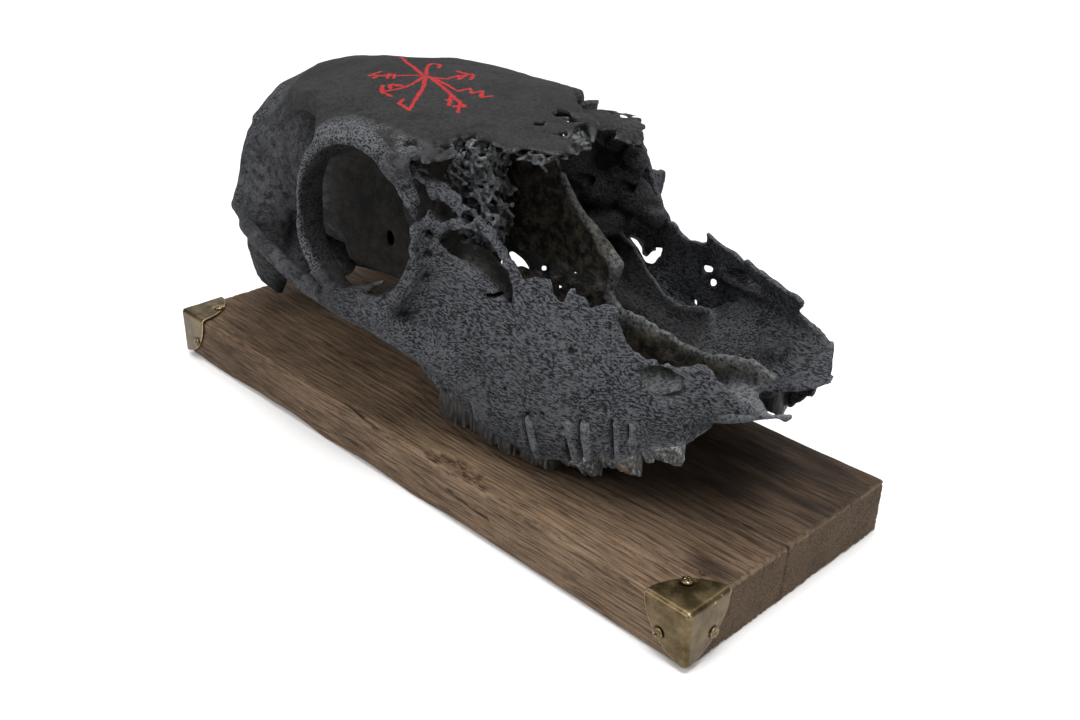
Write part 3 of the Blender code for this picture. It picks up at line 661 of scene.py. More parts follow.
def grow_nose(field, lumps, crumbs):
    """The passages inside the nose, the plate between them, the keel and the loose scrolls."""
    def passage(x, y, z):
        half = curve(x, [(-10, 18), (20, 25), (60, 30), (100, 30)])
        inner = np.maximum(np.abs(y) - half, 68 - z)
        return np.maximum(inner, np.maximum(z - (forehead_height(x, y) - 8), np.maximum(5 - x, x - 90)))

    field.cut((0, -60, 60), (90, 60, 160), passage, 2)
    # The way from the nose down to the throat, and the slit beyond it on the far side
    field.cut_rope([(36, -10, 88), (10, -16, 82), (-16, -30, 66), (-34, -44, 56)], [8, 9, 8, 8], 2)
    slit = [(20, 98.4), (24, 99), (30.3, 97.2), (34.6, 94), (33.6, 92), (28.6, 91.7), (23.2, 94)]
    field.join_rope([(4, 10, 80), (2, 28, 76), (-4, 46, 72)], 7.5, 3)
    field.join_rope([(30, 6, 84), (28, 22, 78), (24, 36, 72)], 3.5, 3)
    cut_through(field, slit, -10, 100, 1.048, 0.6)
    field.cut_rope([(33.3, 0, 91), (-20, 51, 60.5), (-50, 80, 43)], 1.6)
    field.cut((-176, -20, 60), (-114, 20, 110), ellipsoid((-146, 0, 84), (28, 12, 11)), 2)
    field.cut((-30, -20, 40), (34, 20, 80), ellipsoid((2, 0, 60), (26, 13, 12)), 2)

    def upright_plate(outline, middle, thick, fray):
        low, high = side_box(outline, middle - 14, middle + 14, 4)
        part, _ = field.region(low, high)

        def shape(x, y, z):
            edge = outline_distance(outline, x, z) + ragged(lumps[part], crumbs[part], 1, 1.2, 1) * fray
            lean = lumps[part][:, :1, :] * 0.8
            return smooth_max(edge, np.abs(y - middle - lean) - thick, 0.8)

        field.join(low, high, shape, 1.5)

    upright_plate(DIVIDING_PLATE, 0, 1.0, 1.0)
    upright_plate(KEEL, 0, 1.3, 0.7)
    # The crust along the broken edge of the dividing plate
    crust = [(41, 0, 133), (46, 0, 126), (53, 0, 119), (59, 0, 115), (65, 0, 109), (71, 0, 104), (70, 0, 97)]
    field.join_rope(crust, [1.2, 1.3, 1.6, 2.2, 2.8, 3.0, 2.0], 1.5)

    low, high = (4, 24, 56), (96, 58, 104)
    part, _ = field.region(low, high)

    def scroll(x, y, z):
        edge = outline_distance(NOSE_SCROLL, x, z) + crumbs[part][:, :1, :] * 0.7
        bow = 42 + 5 * np.sin((z - 62) / 12) - 0.06 * np.maximum(x - 50, 0)
        return smooth_max(edge, np.abs(y - bow) - 0.9, 0.8)

    field.join(low, high, scroll, 2)

    def upper_sheet(x, y, z):
        outline = [(4, 30), (10, 38), (16, 40), (21, 46), (26, 54), (33, 54), (40, 48), (46, 42), (50, 36),
                   (48, 30), (43, 27), (39, 31), (34, 26), (24, 24), (12, 24)]
        edge = outline_distance(outline, x, y) + ragged(lumps[sheet], crumbs[sheet], 2, 1, 1.4)
        top = z - (147 - 0.008 * (x - 22) ** 2 - 0.005 * (y - 36) ** 2)
        return smooth_max(smooth_max(top, -(top + 1.8), 0.8), edge, 1)

    low, high = (4, 24, 118), (60, 72, 154)
    sheet, _ = field.region(low, high)
    field.join(low, high, upper_sheet, 2)

    def lower_sheet(x, y, z):
        outline = [(10, 134), (34, 136), (42, 131), (43, 123), (39, 119), (34, 122), (24, 120), (12, 124)]
        edge = outline_distance(outline, x, z) + ragged(lumps[shelf], crumbs[shelf], 1, 1, 1.2)
        bow = 44 + 0.012 * (x - 30) ** 2 + (z - 128) * 0.35
        return smooth_max(edge, np.abs(y - bow) - 1.0, 0.8)

    low, high = (4, 30, 110), (62, 66, 144)
    shelf, _ = field.region(low, high)
    field.join(low, high, lower_sheet, 2)
    field.join_rope([(5, 52, 135), (16, 48, 136), (29, 42, 135)], 4, 2)
    # Rounded swellings of the far side below the sheets
    for middle, radii in (((38, 47, 112), (9, 7, 9)), ((24, 40, 114), (10, 8, 8)), ((46, 50, 106), (6, 5, 7)),
                          ((14, 34, 124), (10, 8, 9)), ((30, 44, 101), (7, 6, 5)), ((21, 42, 98), (13, 9, 7)),
                          ((10, 38, 112), (9, 8, 8)), ((34, 43, 121), (7, 6, 6)), ((41, 43, 130), (6, 5, 5))):
        low = np.array(middle) - np.array(radii) - 4
        field.join(low, np.array(middle) + np.array(radii) + 4, ellipsoid(middle, radii), 3)
    field.cut_rope([(38, 38, 119), (40, 50, 116)], 2.4, 1)
    field.cut_rope([(48, 42, 112), (50, 56, 110)], [2.6, 2], 1)
    field.cut_rope([(22, 30, 120), (26, 42, 116)], 2.2, 1)


def cut_through(field, outline, middle, far, slope_x=1.005, slope_z=0.729):
    """Cuts a gap slantwise: its outline (x, z) is drawn at y = middle, and far is how far on it goes."""
    low, high = np.min(outline, 0) - far - 3, np.max(outline, 0) + 13

    def shape(x, y, z):
        return outline_distance(outline, x + (y - middle) * slope_x, z + (y - middle) * slope_z)

    field.cut((low[0], middle - 10, low[1]), (high[0], middle + far, high[1]), shape, 1)


def wall_pit(field, outline, deep):
    """A hollow in the near wall: deep is how far it goes in, past the wall where that is thin."""
    low, high = side_box(outline, -80, -20)

    def shape(x, y, z):
        away = np.abs(y) - face_half_width(x, z)
        return smooth_max(outline_distance(outline, x, z), -(away + deep), min(deep, 4))

    field.cut(low, high, shape, 0.8)


# Pits of the near wall in front of the eye socket: how deep, and the outline (x, z)
NEAR_PITS = [
    (6, [(20, 137), (23, 140), (28, 138), (31, 134), (30, 128), (26, 123), (23, 127), (20, 132)]),
    (7, [(31, 133), (33, 134.5), (39, 130.5), (38.5, 128), (35, 126), (31.5, 127.5)]),
    (12, [(42, 129), (43, 131), (46, 131), (46.5, 128.5), (44, 126.5)]),
    (6, [(37, 122), (44, 125.5), (51, 125), (58, 119.5), (61, 115), (64, 114), (67, 109), (68, 105),
         (64, 103.5), (59, 107), (50, 112), (40, 116), (36, 119)]),
    (16, [(46, 119), (53, 119), (59, 114), (62, 110), (60, 107), (55, 112), (47, 116)]),
    (9, [(29, 118), (33, 117), (35, 114), (32, 114)]),
    (5, [(30, 122.5), (33, 123), (33, 121), (30, 120.5)]),
    (5, [(23, 143), (27, 142), (28, 140.5), (24, 141)]),
    (5, [(29.5, 142.5), (32, 141), (33, 138), (30, 140)]),
    (6, [(40, 136), (43, 135), (43.5, 133), (41, 134)]),
    (8, [(56, 104.5), (62, 105.5), (62, 103.5), (57, 103)]),
    (12, [(65, 106), (68, 106), (68, 103), (65, 103)]),
    (14, [(60, 112), (62.5, 112.5), (62.5, 108), (60, 108.5)]),
]
# Gaps that the light shows through: middle y, how far on, and the outline (x, z)
FAR_GAPS = [
    (61, 36, [(24, 87), (27, 89.5), (31.5, 89), (34, 85.5), (34, 82.5), (36.5, 81.5), (39.5, 85.5),
              (43.5, 86.5), (42, 81), (38.5, 77.5), (34.5, 77), (30, 82)]),
    (53, 14, [(73, 90.5), (78, 91), (78, 88.5), (74, 87.5)]),
    (54, 14, [(76, 85), (79.5, 85.5), (79.5, 82), (76.5, 81.5)]),
]
PLATE_GAPS = [
    (0, 14, [(31, 88.5), (33, 92), (35.5, 90), (34, 87)]),
    (0, 14, [(39.5, 86), (41, 87.5), (43, 86), (41, 84.5)]),
]


def carve_face(field):
    # Bone that stands behind the pits in front of the near eye socket
    field.join((10, -70, 112), (46, -40, 148), ellipsoid((25, -54, 127), (13, 6, 13)), 3)
    field.join((28, -62, 94), (72, -40, 124), ellipsoid((48, -49, 108), (20, 5.5, 10)), 3)
    for deep, outline in NEAR_PITS:
        wall_pit(field, outline, deep)
    for side in (-1, 1):
        for x, z in ((70, 70), (52, 84), (88, 66), (106, 80), (44, 64), (96, 92)):
            y = side * float(face_half_width(x, z))
            field.cut_rope([(x, y * 1.04, z), (x - 2, y * 0.96, z + 1)], 0.9)
    # The nerve opening of the near cheek
    field.cut_rope(NERVE_OPENING, [4.6, 4.8, 4.4, 3.5], 1.2, (1.4, 1, 1))
    # Exposed roots, each in a thin slot
    for x, top, radius in BARE_ROOTS:
        heights = np.linspace(float(curve(x, LOW_HEIGHT)) + 1.5, top, 5)
        path = [(x + (top - z) * ROOT_LEAN, -float(face_half_width(x, z)), z) for z in heights]
        field.cut_rope(path, [radius + 1.0, radius + 0.8, radius + 0.7, radius + 0.6, radius + 0.5], 0.4)
        field.join_rope([(x + 0.4, y * 0.992, z) for x, y, z in path], radius + 0.1, 0.3)
    # Gaps of the broken far wall
    for middle, far, outline in FAR_GAPS:
        cut_through(field, outline, middle, far)
    field.join_rope([(84, 51, 90), (98, 48.5, 92.5), (112, 44, 93.5), (124, 39, 93)], [3, 5, 5, 3], 3)
    field.cut_rope([(90, 47, 93), (102, 44, 95.5), (114, 40.5, 96)], [2.2, 3.6, 2.6], 1, (1.2, 1, 0.9))
    # Small gaps below the dividing plate, and the slit beside the bar of the near wall
    for middle, far, outline in PLATE_GAPS:
        cut_through(field, outline, middle, far)
    field.cut_rope([(59.4, -49, 116.5), (7.2, 0, 86.3), (-57, 61, 48), (-76, 80, 36.5)], 1.5)


def hollow_tooth_sockets(field):
    under_rim = [(82, 30), *NEAR_RIM, (143, 69), (143, 30)]
    field.cut((78, -80, 26), (146, -4, 72), lambda x, y, z: outline_distance(under_rim, x, z), 0.8)
    for side in (-1, 1):
        for _, start, length, width, _ in CHEEK_TEETH:
            middle = start + length / 2
            margin = float(curve(middle, LOW_HEIGHT))
            y = side * (float(face_half_width(middle, margin)) - TOOTH_INSET)
            low = (start - 4, y - width, margin - 8)
            high = (start + length + 4, y + width, margin + 8)
            room = tooth_form(middle, y, length + 1.4, width + 1.4, margin - 8, margin + 4)
            field.cut(low, high, room, 0.8)


def tooth_form(middle, y0, length, width, low, high):
    """Two joined lobes with a waist, from low to high."""
    def shape(x, y, z):
        total = None
        for lobe in (-1, 1):
            u, v = (x - middle - lobe * length * 0.235) / (length * 0.265), (y - y0) / (width * 0.5)
            round_lobe = ((np.abs(u) ** 2.6 + np.abs(v) ** 2.6) ** (1 / 2.6) - 1) * length * 0.26
            total = round_lobe if total is None else smooth_min(total, round_lobe, 1.2)
        return smooth_max(total, np.maximum(low - z, z - high), 1.5)

    return shape


def make_skull():
    field = Field(FIELD_LOW, FIELD_HIGH, SKULL_CELL)
    swells = lattice_noise(field.axes, 13, 1)
    lumps = lattice_noise(field.axes, 5, 2)
    crumbs = lattice_noise(field.axes, 2.4, 3)
    grain = lattice_noise(field.axes, (11, 2.6, 2.6), 4)
    grow_head(field)
    grow_forehead(field, lumps, crumbs)
    grow_face(field, lumps, crumbs, grain)
    grow_eye_sockets(field)
    grow_nose(field, lumps, crumbs)
    carve_face(field)
    hollow_tooth_sockets(field)
    # Spongy bone round the near eye socket and on the crest at the back
    x, y, z = field.places()
    off_rim = np.sqrt(((x - 2) / 33) ** 2 + ((z - 124) / 35) ** 2) - 1
    near_rim = np.exp(-((off_rim / 0.22) ** 2)) * (np.abs(y) > 44)
    crest = np.exp(-(((x + 118) / 12) ** 2))
    spongy = np.maximum(near_rim, crest).astype(SINGLE)
    field.value += swells * SINGLE(0.35) + lumps * SINGLE(0.22) + grain * SINGLE(0.14)
    field.value += np.maximum(crumbs - 0.25, 0) * spongy * SINGLE(2.2)
    points, quads = surface_net(field.value, field.low, field.cell)
    points, quads = largest_part(points, quads)
    skull = mesh_object("skull_bone", real(points), quads)
    thin_out(skull, SKULL_TRIANGLES)
    keep_in_box(skull)
    skull.data.shade_smooth()
    return skull, field


# Materials

class Tree:
    """Adds nodes to a material or a group, each with its links made at once."""

    def __init__(self, tree):
        self.tree = tree

    def add(self, kind, *inputs, **settings):
        node = self.tree.nodes.new(kind)
        named = settings.pop("named", {})
        for key, value in settings.items():
            setattr(node, key, value)
        by_name = [(node.inputs[title], value) for title, value in named.items()]
        for socket, value in [*zip(node.inputs, inputs), *by_name]:
            if isinstance(value, bpy.types.NodeSocket):
                self.tree.links.new(value, socket)
            elif value is not None:
                socket.default_value = value
        return node

    def math(self, operation, a, b=0.0, c=0.0, clamp=False):
        return self.add("ShaderNodeMath", a, b, c, operation=operation, use_clamp=clamp).outputs[0]

    def times(self, a, b, clamp=False):
        return self.math("MULTIPLY", a, b, clamp=clamp)

    def plus(self, a, b):
        return self.math("ADD", a, b)

    def minus(self, a, b):
        return self.math("SUBTRACT", a, b)

    def scaled(self, value, factor, extra):
        """The value times a factor, with extra added."""
        return self.math("MULTIPLY_ADD", value, factor, extra)

    def vector(self, operation, a, b=None, **named):
        made = self.add("ShaderNodeVectorMath", a, b, operation=operation, named=named)
        return made.outputs["Value" if operation in ("LENGTH", "DOT_PRODUCT") else "Vector"]

    def noise(self, at, scale, detail=3.0, rough=0.55):
        return self.add("ShaderNodeTexNoise", named={
            "Vector": at, "Scale": scale, "Detail": detail, "Roughness": rough}).outputs[0]

    def pores(self, at, scale):
        return self.add("ShaderNodeTexVoronoi", feature="F1", named={"Vector": at, "Scale": scale}).outputs[0]

    def step(self, value, low, high):
        """Goes from 0 to 1 as value goes from low to high, smoothly."""
        kind = "ShaderNodeMapRange"
        return self.add(kind, value, low, high, 0.0, 1.0, interpolation_type="SMOOTHSTEP").outputs[0]

    def mix(self, share, a, b):
        """Goes from a to b by share. Each of them is a socket or plain red, green and blue."""
        made = self.add("ShaderNodeMix", data_type="RGBA", clamp_factor=True)
        for key, value in zip((0, 6, 7), (share, a, b)):
            if isinstance(value, bpy.types.NodeSocket):
                self.tree.links.new(value, made.inputs[key])
            else:
                made.inputs[key].default_value = (*value, 1.0)
        return made.outputs[2]

    def paint(self, base, mask, tone, amount=1.0):
        """Lays a tone over base where the mask is, by amount at most."""
        return self.mix(mask if amount == 1.0 else self.times(mask, amount), base, tone)

    def grain(self, at, scale, detail=3.0, rough=0.55):
        """Noise with a scale of its own along each axis."""
        stretched = self.add("ShaderNodeMapping", at, None, None, scale, vector_type="POINT").outputs[0]
        return self.noise(stretched, 1.0, detail, rough)

    def shaken(self, at, scale, reach, detail=2.0):
        """Places shifted by noise, by up to about half of reach."""
        shift = self.add("ShaderNodeTexNoise", named={"Vector": at, "Scale": scale, "Detail": detail})
        shift = self.vector("SUBTRACT", shift.outputs["Color"], (0.5, 0.5, 0.5))
        return self.vector("ADD", at, self.vector("SCALE", shift, Scale=reach))

    def marks(self):
        """The three masks that add_marks stored."""
        stored = self.add("ShaderNodeAttribute", attribute_name="marks").outputs["Color"]
        return self.add("ShaderNodeSeparateColor", stored).outputs

    def bump(self, height, strength, distance, normal=None):
        return self.add("ShaderNodeBump", named={
            "Strength": strength, "Distance": distance, "Height": height,
            **({"Normal": normal} if normal is not None else {})}).outputs[0]


def start_group(name, inputs, outputs):
    """A shader node group with named sockets: (name, kind, default) for each input."""
    group = bpy.data.node_groups.new(name, "ShaderNodeTree")
    for title, kind, default in inputs:
        socket = group.interface.new_socket(title, in_out="INPUT", socket_type=f"NodeSocket{kind}")
        if default is not None:
            socket.default_value = default
    for title, kind in outputs:
        group.interface.new_socket(title, in_out="OUTPUT", socket_type=f"NodeSocket{kind}")
    tree = Tree(group)
    return group, tree, tree.add("NodeGroupInput").outputs, tree.add("NodeGroupOutput").inputs


def finish_group(tree, sockets, *values):
    for socket, value in zip(sockets, values):
        tree.tree.links.new(value, socket)


def fibre_group():
    """Fine broken lines along X, bent by a slow wave, with the height of each line."""
    group, tree, given, out = start_group(
        "fibres along the piece",
        [("Place", "Vector", None), ("Along", "Float", 60.0), ("Across", "Float", 700.0),
         ("Bend", "Float", 0.002)],
        [("Line", "Float"), ("Height", "Float")])
    stretch = tree.add("ShaderNodeCombineXYZ", given["Along"], given["Across"], given["Across"]).outputs[0]
    bent = tree.vector("MULTIPLY", tree.shaken(given["Place"], 45.0, given["Bend"], 3.0), stretch)
    fine = tree.noise(bent, 1.0, 4.0, 0.6)
    finish_group(tree, out, tree.step(fine, 0.47, 0.57), fine)
    return group


def grit_group():
    """Small pits and grains of two sizes: a mask of the pits and a height."""
    group, tree, given, out = start_group(
        "pits and grit",
        [("Place", "Vector", None), ("Size", "Float", 500.0), ("Amount", "Float", 0.5)],
        [("Pits", "Float"), ("Height", "Float")])
    cells = tree.pores(tree.shaken(given["Place"], given["Size"], 0.0012), given["Size"])
    pits = tree.step(cells, 0.36, 0.14)
    patches = tree.step(tree.noise(given["Place"], tree.times(given["Size"], 0.16), 2.0), 0.35, 0.62)
    pits = tree.times(tree.times(pits, patches), given["Amount"], clamp=True)
    grains = tree.noise(given["Place"], tree.times(given["Size"], 2.6), 3.0, 0.65)
    height = tree.minus(tree.times(grains, 0.35), pits)
    finish_group(tree, out, pits, height)
    return group


def wear_group():
    """Worn raised edges, and a mask of the hollows, from how sharply the surface bends."""
    group, tree, given, out = start_group(
        "worn edges",
        [("Place", "Vector", None), ("Start", "Float", 0.515), ("Full", "Float", 0.56)],
        [("Edge", "Float"), ("Hollow", "Float")])
    bend = tree.add("ShaderNodeNewGeometry").outputs["Pointiness"]
    broken = tree.times(tree.minus(tree.noise(given["Place"], 260.0, 4.0, 0.7), 0.5), 0.05)
    edge = tree.step(tree.plus(bend, broken), given["Start"], given["Full"])
    finish_group(tree, out, edge, tree.step(bend, 0.49, 0.43))
    return group


def stroke_group():
    """How far a place is from a straight brush stroke, seen from above, in drawn millimetres."""
    group, tree, given, out = start_group(
        "brush stroke",
        [("Place", "Vector", None), ("Start", "Vector", None), ("Run", "Vector", None),
         ("Inverse", "Float", 1.0)],
        [("Away", "Float")])
    off = tree.vector("SUBTRACT", given["Place"], given["Start"])
    share = tree.times(tree.vector("DOT_PRODUCT", off, given["Run"]), given["Inverse"], clamp=True)
    finish_group(tree, out, tree.vector("LENGTH", tree.vector(
        "SUBTRACT", off, tree.vector("SCALE", given["Run"], Scale=share))))
    return group


GROUPS = {"fibres": fibre_group(), "grit": grit_group(), "wear": wear_group(), "stroke": stroke_group()}


def use_group(tree, key, **named):
    return tree.add("ShaderNodeGroup", node_tree=GROUPS[key], named=named).outputs


def start_material(name, **plain):
    made = bpy.data.materials.new(name)
    made.use_nodes = True
    shader = made.node_tree.nodes["Principled BSDF"]
    for title, value in plain.items():
        shader.inputs[title.replace("_", " ")].default_value = value
    tree = Tree(made.node_tree)
    return made, tree, shader.inputs, tree.add("ShaderNodeTexCoord").outputs["Object"]


def feed(tree, inputs, **named):
    for title, value in named.items():
        tree.tree.links.new(value, inputs[title.replace("_", " ")])


# The eight-armed sign brushed on the forehead: strokes from above, (x, y) in drawn millimetres
SIGN_ARMS = {
    "back and left": [[(-38, -4), (-48, 0), (-60, 5), (-68, 9), (-77, 10)]],
    "comb": [[(-37, -4), (-42, -11), (-46, -16), (-51, -20)], [(-52, -21), (-54, -14)],
             [(-48, -22), (-49, -18)], [(-48, -14), (-43, -19)], [(-46, -13), (-41, -17)]],
    "barbed": [[(-35, -6), (-30, -15), (-28, -21), (-29, -28), (-31, -31)], [(-31, -31), (-36, -27)],
               [(-31, -31), (-24, -32)], [(-35, -24), (-29, -28)], [(-34, -23), (-28, -21)]],
    "hooked": [[(-35, -5), (-23, -16), (-14, -27), (-6, -37), (-11, -36), (-15, -35), (-17, -31)]],
    "branched": [[(-35, -4), (-22, -9), (-10, -14), (0, -18), (8, -21)], [(-6, -16), (-3, -19), (2, -24)],
                 [(3, -19), (7, -23), (11, -27)], [(-3, -21), (-1, -18)], [(5, -24), (8, -21)]],
    "forked": [[(-35, -4), (-24, -6), (-9, -10)], [(-9, -10), (-9, -3), (-3, -8)],
               [(-3, -8), (-3, -2), (4, -9)], [(4, -9), (5, -4)]],
    "looped": [[(-34, -5), (-29, -3), (-26, -1), (-27, 6), (-24, 12)],
               [(-27, 6), (-22, 2), (-26, 10), (-33, 11)], [(-30, 11), (-24, 12), (-19, 6)]],
    "short hook": [[(-37, -3), (-44, 3), (-49, 8), (-51, 12), (-47, 13), (-43, 9)]],
}


def sign_mask(tree, place):
    """Where the red paint of the sign is."""
    spot = tree.vector("SUBTRACT", place, tuple(SKULL_PLACE * MM))
    spot = tree.vector("MULTIPLY", spot, (1 / (SKULL_UNIT * MM),) * 3)
    level = tree.vector("MULTIPLY", spot, (1, 1, 0))
    level = tree.vector("MULTIPLY", tree.shaken(level, 0.55, 2.0, 3.0), (1, 1, 0))
    nearest = None
    for lines in SIGN_ARMS.values():
        for line in lines:
            for (ax, ay), (bx, by) in zip(line, line[1:]):
                away = use_group(tree, "stroke", Place=level, Start=(ax, ay, 0), Run=(bx - ax, by - ay, 0),
                                 Inverse=1 / ((bx - ax) ** 2 + (by - ay) ** 2))["Away"]
                nearest = away if nearest is None else tree.math("MINIMUM", nearest, away)
    width = tree.scaled(tree.noise(level, 0.16, 2.0), 1.3, 0.1)
    mask = tree.step(tree.minus(nearest, width), 0.25, -0.25)
    upper = tree.step(tree.add("ShaderNodeSeparateXYZ", spot).outputs[2], 138.0, 141.0)
    skipped = tree.step(tree.noise(place, 1500.0, 3.0, 0.7), 0.36, 0.5)
    return tree.times(tree.times(mask, upper), tree.scaled(skipped, 0.45, 0.55))


def bone_material(name, signed):
    made, tree, inputs, place = start_material(name, Specular_IOR_Level=0.10)
    inner, pale, spongy = tree.marks()
    x, y, z = tree.add("ShaderNodeSeparateXYZ", place).outputs
    # The face is grained, the braincase and forehead are smoother
    grained = tree.times(tree.step(x, -0.03, 0.012), tree.step(z, 0.142, 0.132))
    fibres = use_group(tree, "fibres", Place=place, Along=420.0, Across=1450.0, Bend=0.008)
    grit = use_group(tree, "grit", Place=place, Size=1000.0, Amount=tree.scaled(spongy, 0.6, 0.2))
    wear = use_group(tree, "wear", Place=place, Start=0.525, Full=0.60)
    blotch = tree.noise(place, 42.0, 4.0, 0.6)
    speck = tree.noise(place, 1700.0, 3.0, 0.7)
    mottle = tree.noise(place, 240.0, 4.0, 0.65)
    patches = tree.step(blotch, 0.40, 0.60)
    ground = tree.mix(patches, (0.019, 0.019, 0.021), (0.052, 0.052, 0.055))
    ground = tree.paint(ground, tree.step(mottle, 0.56, 0.40), (0.010, 0.010, 0.011))
    warm = tree.times(tree.step(z, 0.128, 0.142), patches)
    ground = tree.paint(ground, warm, (0.040, 0.035, 0.031), 0.6)
    # Painted shade: the top of the head is painted darker
    high = tree.step(z, 0.128, 0.140)
    ground = tree.paint(ground, high, (0.012, 0.0115, 0.011), 0.8)
    ground = tree.paint(ground, spongy, (0.12, 0.124, 0.133), 0.8)
    # Raised fibres caught more of the pale dust, and the cracks between them stay black
    raised = tree.scaled(grained, 0.72, tree.scaled(high, -0.12, 0.25))
    raised = tree.times(fibres["Line"], raised)
    base = tree.paint(ground, raised, (0.082, 0.087, 0.098))
    cracks = tree.step(tree.noise(place, 130.0, 2.0), 0.30, 0.55)
    cracks = tree.times(tree.step(fibres["Height"], 0.46, 0.40), cracks)
    base = tree.paint(base, tree.times(cracks, tree.scaled(grained, 0.65, 0.30)), (0.006, 0.006, 0.007))
    # Fine seams on the smooth bone, open pores of the spongy bone and pale specks of dust
    vein = tree.math("ABSOLUTE", tree.minus(tree.noise(place, 75.0, 6.0, 0.65), 0.5))
    vein = tree.times(tree.step(vein, 0.016, 0.003), tree.step(blotch, 0.60, 0.44))
    vein = tree.times(vein, tree.minus(1.0, grained))
    base = tree.paint(base, vein, (0.006, 0.006, 0.006), 0.75)
    sponge = tree.pores(tree.shaken(place, 700.0, 0.0022), 1250.0)
    sponge = tree.times(tree.step(sponge, 0.54, 0.40), tree.step(spongy, 0.1, 0.6))
    base = tree.paint(base, sponge, (0.004, 0.004, 0.005))
    flecks = tree.times(tree.step(speck, 0.58, 0.72), tree.scaled(grained, 0.5, 0.35))
    flecks = tree.times(flecks, tree.scaled(high, -0.6, 1.0))
    base = tree.paint(base, flecks, (0.15, 0.158, 0.172))
    # Painted shade, near black, on the inside, with ochre dirt that is strongest on the dividing plate
    inside_painted_shade = tree.mix(tree.step(blotch, 0.40, 0.66), (0.002, 0.002, 0.002), (0.010, 0.009, 0.0075))
    base = tree.mix(tree.times(inner, 0.95), base, inside_painted_shade)
    wide, small = tree.noise(place, 95.0, 5.0, 0.7), tree.noise(place, 260.0, 5.0, 0.7)
    ochre = tree.math("MAXIMUM", tree.step(wide, 0.50, 0.72), tree.step(small, 0.42, 0.62))
    ochre = tree.times(inner, ochre)
    plate = tree.step(tree.math("ABSOLUTE", tree.minus(y, SKULL_PLACE[1] * MM)), 0.012, 0.007)
    base = tree.paint(base, tree.times(ochre, tree.scaled(plate, 0.65, 0.12)), (0.075, 0.064, 0.046))
    # Chalky broken ridges, worn edges, painted shade in the hollows, and dark pits
    chalky = tree.times(pale, tree.step(tree.noise(place, 600.0, 4.0, 0.7), 0.36, 0.62))
    base = tree.paint(base, chalky, (0.21, 0.22, 0.225), 0.85)
    edge = tree.times(wear["Edge"], tree.step(speck, 0.40, 0.60))
    base = tree.paint(base, edge, (0.17, 0.18, 0.195), 0.65)
    base = tree.paint(base, wear["Hollow"], (0.004, 0.004, 0.005), 0.85)
    base = tree.paint(base, grit["Pits"], (0.003, 0.003, 0.004), 0.92)
    if signed:
        red = tree.mix(tree.step(speck, 0.35, 0.65), (0.27, 0.010, 0.012), (0.44, 0.022, 0.025))
        base = tree.mix(sign_mask(tree, place), base, red)
    rough = tree.scaled(tree.step(speck, 0.3, 0.7), 0.2, 0.62)
    relief = tree.times(fibres["Height"], tree.scaled(grained, 1.1, 0.35))
    normal = tree.bump(tree.plus(relief, tree.times(speck, 0.4)), 0.8, 0.0008)
    normal = tree.bump(grit["Height"], 0.9, 0.0010, normal)
    feed(tree, inputs, Base_Color=base, Roughness=rough, Normal=normal)
    return made


def tooth_material():
    made, tree, inputs, place = start_material("stained tooth", Specular_IOR_Level=0.5)
    broken, ochre, _ = tree.marks()
    ribs = tree.grain(place, (900.0, 900.0, 160.0), 3.0, 0.6)
    grit = use_group(tree, "grit", Place=place, Size=900.0, Amount=0.5)
    wear = use_group(tree, "wear", Place=place, Start=0.52, Full=0.60)
    base = tree.mix(tree.step(ribs, 0.35, 0.7), (0.008, 0.008, 0.008), (0.050, 0.050, 0.048))
    crumbs = tree.step(tree.grain(place, (900.0, 900.0, 330.0), 4.0, 0.75), 0.47, 0.60)
    chalk = tree.times(broken, tree.math("MAXIMUM", crumbs, tree.step(broken, 0.6, 1.0)))
    base = tree.paint(base, chalk, (0.50, 0.52, 0.53))
    base = tree.paint(base, wear["Edge"], (0.22, 0.22, 0.22), 0.5)
    # Painted shade in the hollows
    base = tree.paint(base, wear["Hollow"], (0.008, 0.007, 0.006), 0.8)
    base = tree.paint(base, ochre, (0.32, 0.19, 0.05))
    base = tree.paint(base, grit["Pits"], (0.006, 0.006, 0.006))
    normal = tree.bump(tree.plus(ribs, grit["Height"]), 0.6, 0.0005)
    rough = tree.scaled(crumbs, 0.25, 0.38)
    feed(tree, inputs, Base_Color=base, Roughness=rough, Normal=normal)
    return made


# Rings of the log that the board was sawn from: their middle line lies under the far side
PITH_Y, PITH_Z = 0.055, -0.075
# The knot that bends the grain near the board's near edge, and how far it pushes the lines
KNOT = (0.045, -0.050)
KNOT_REACH = (0.045, 0.014)


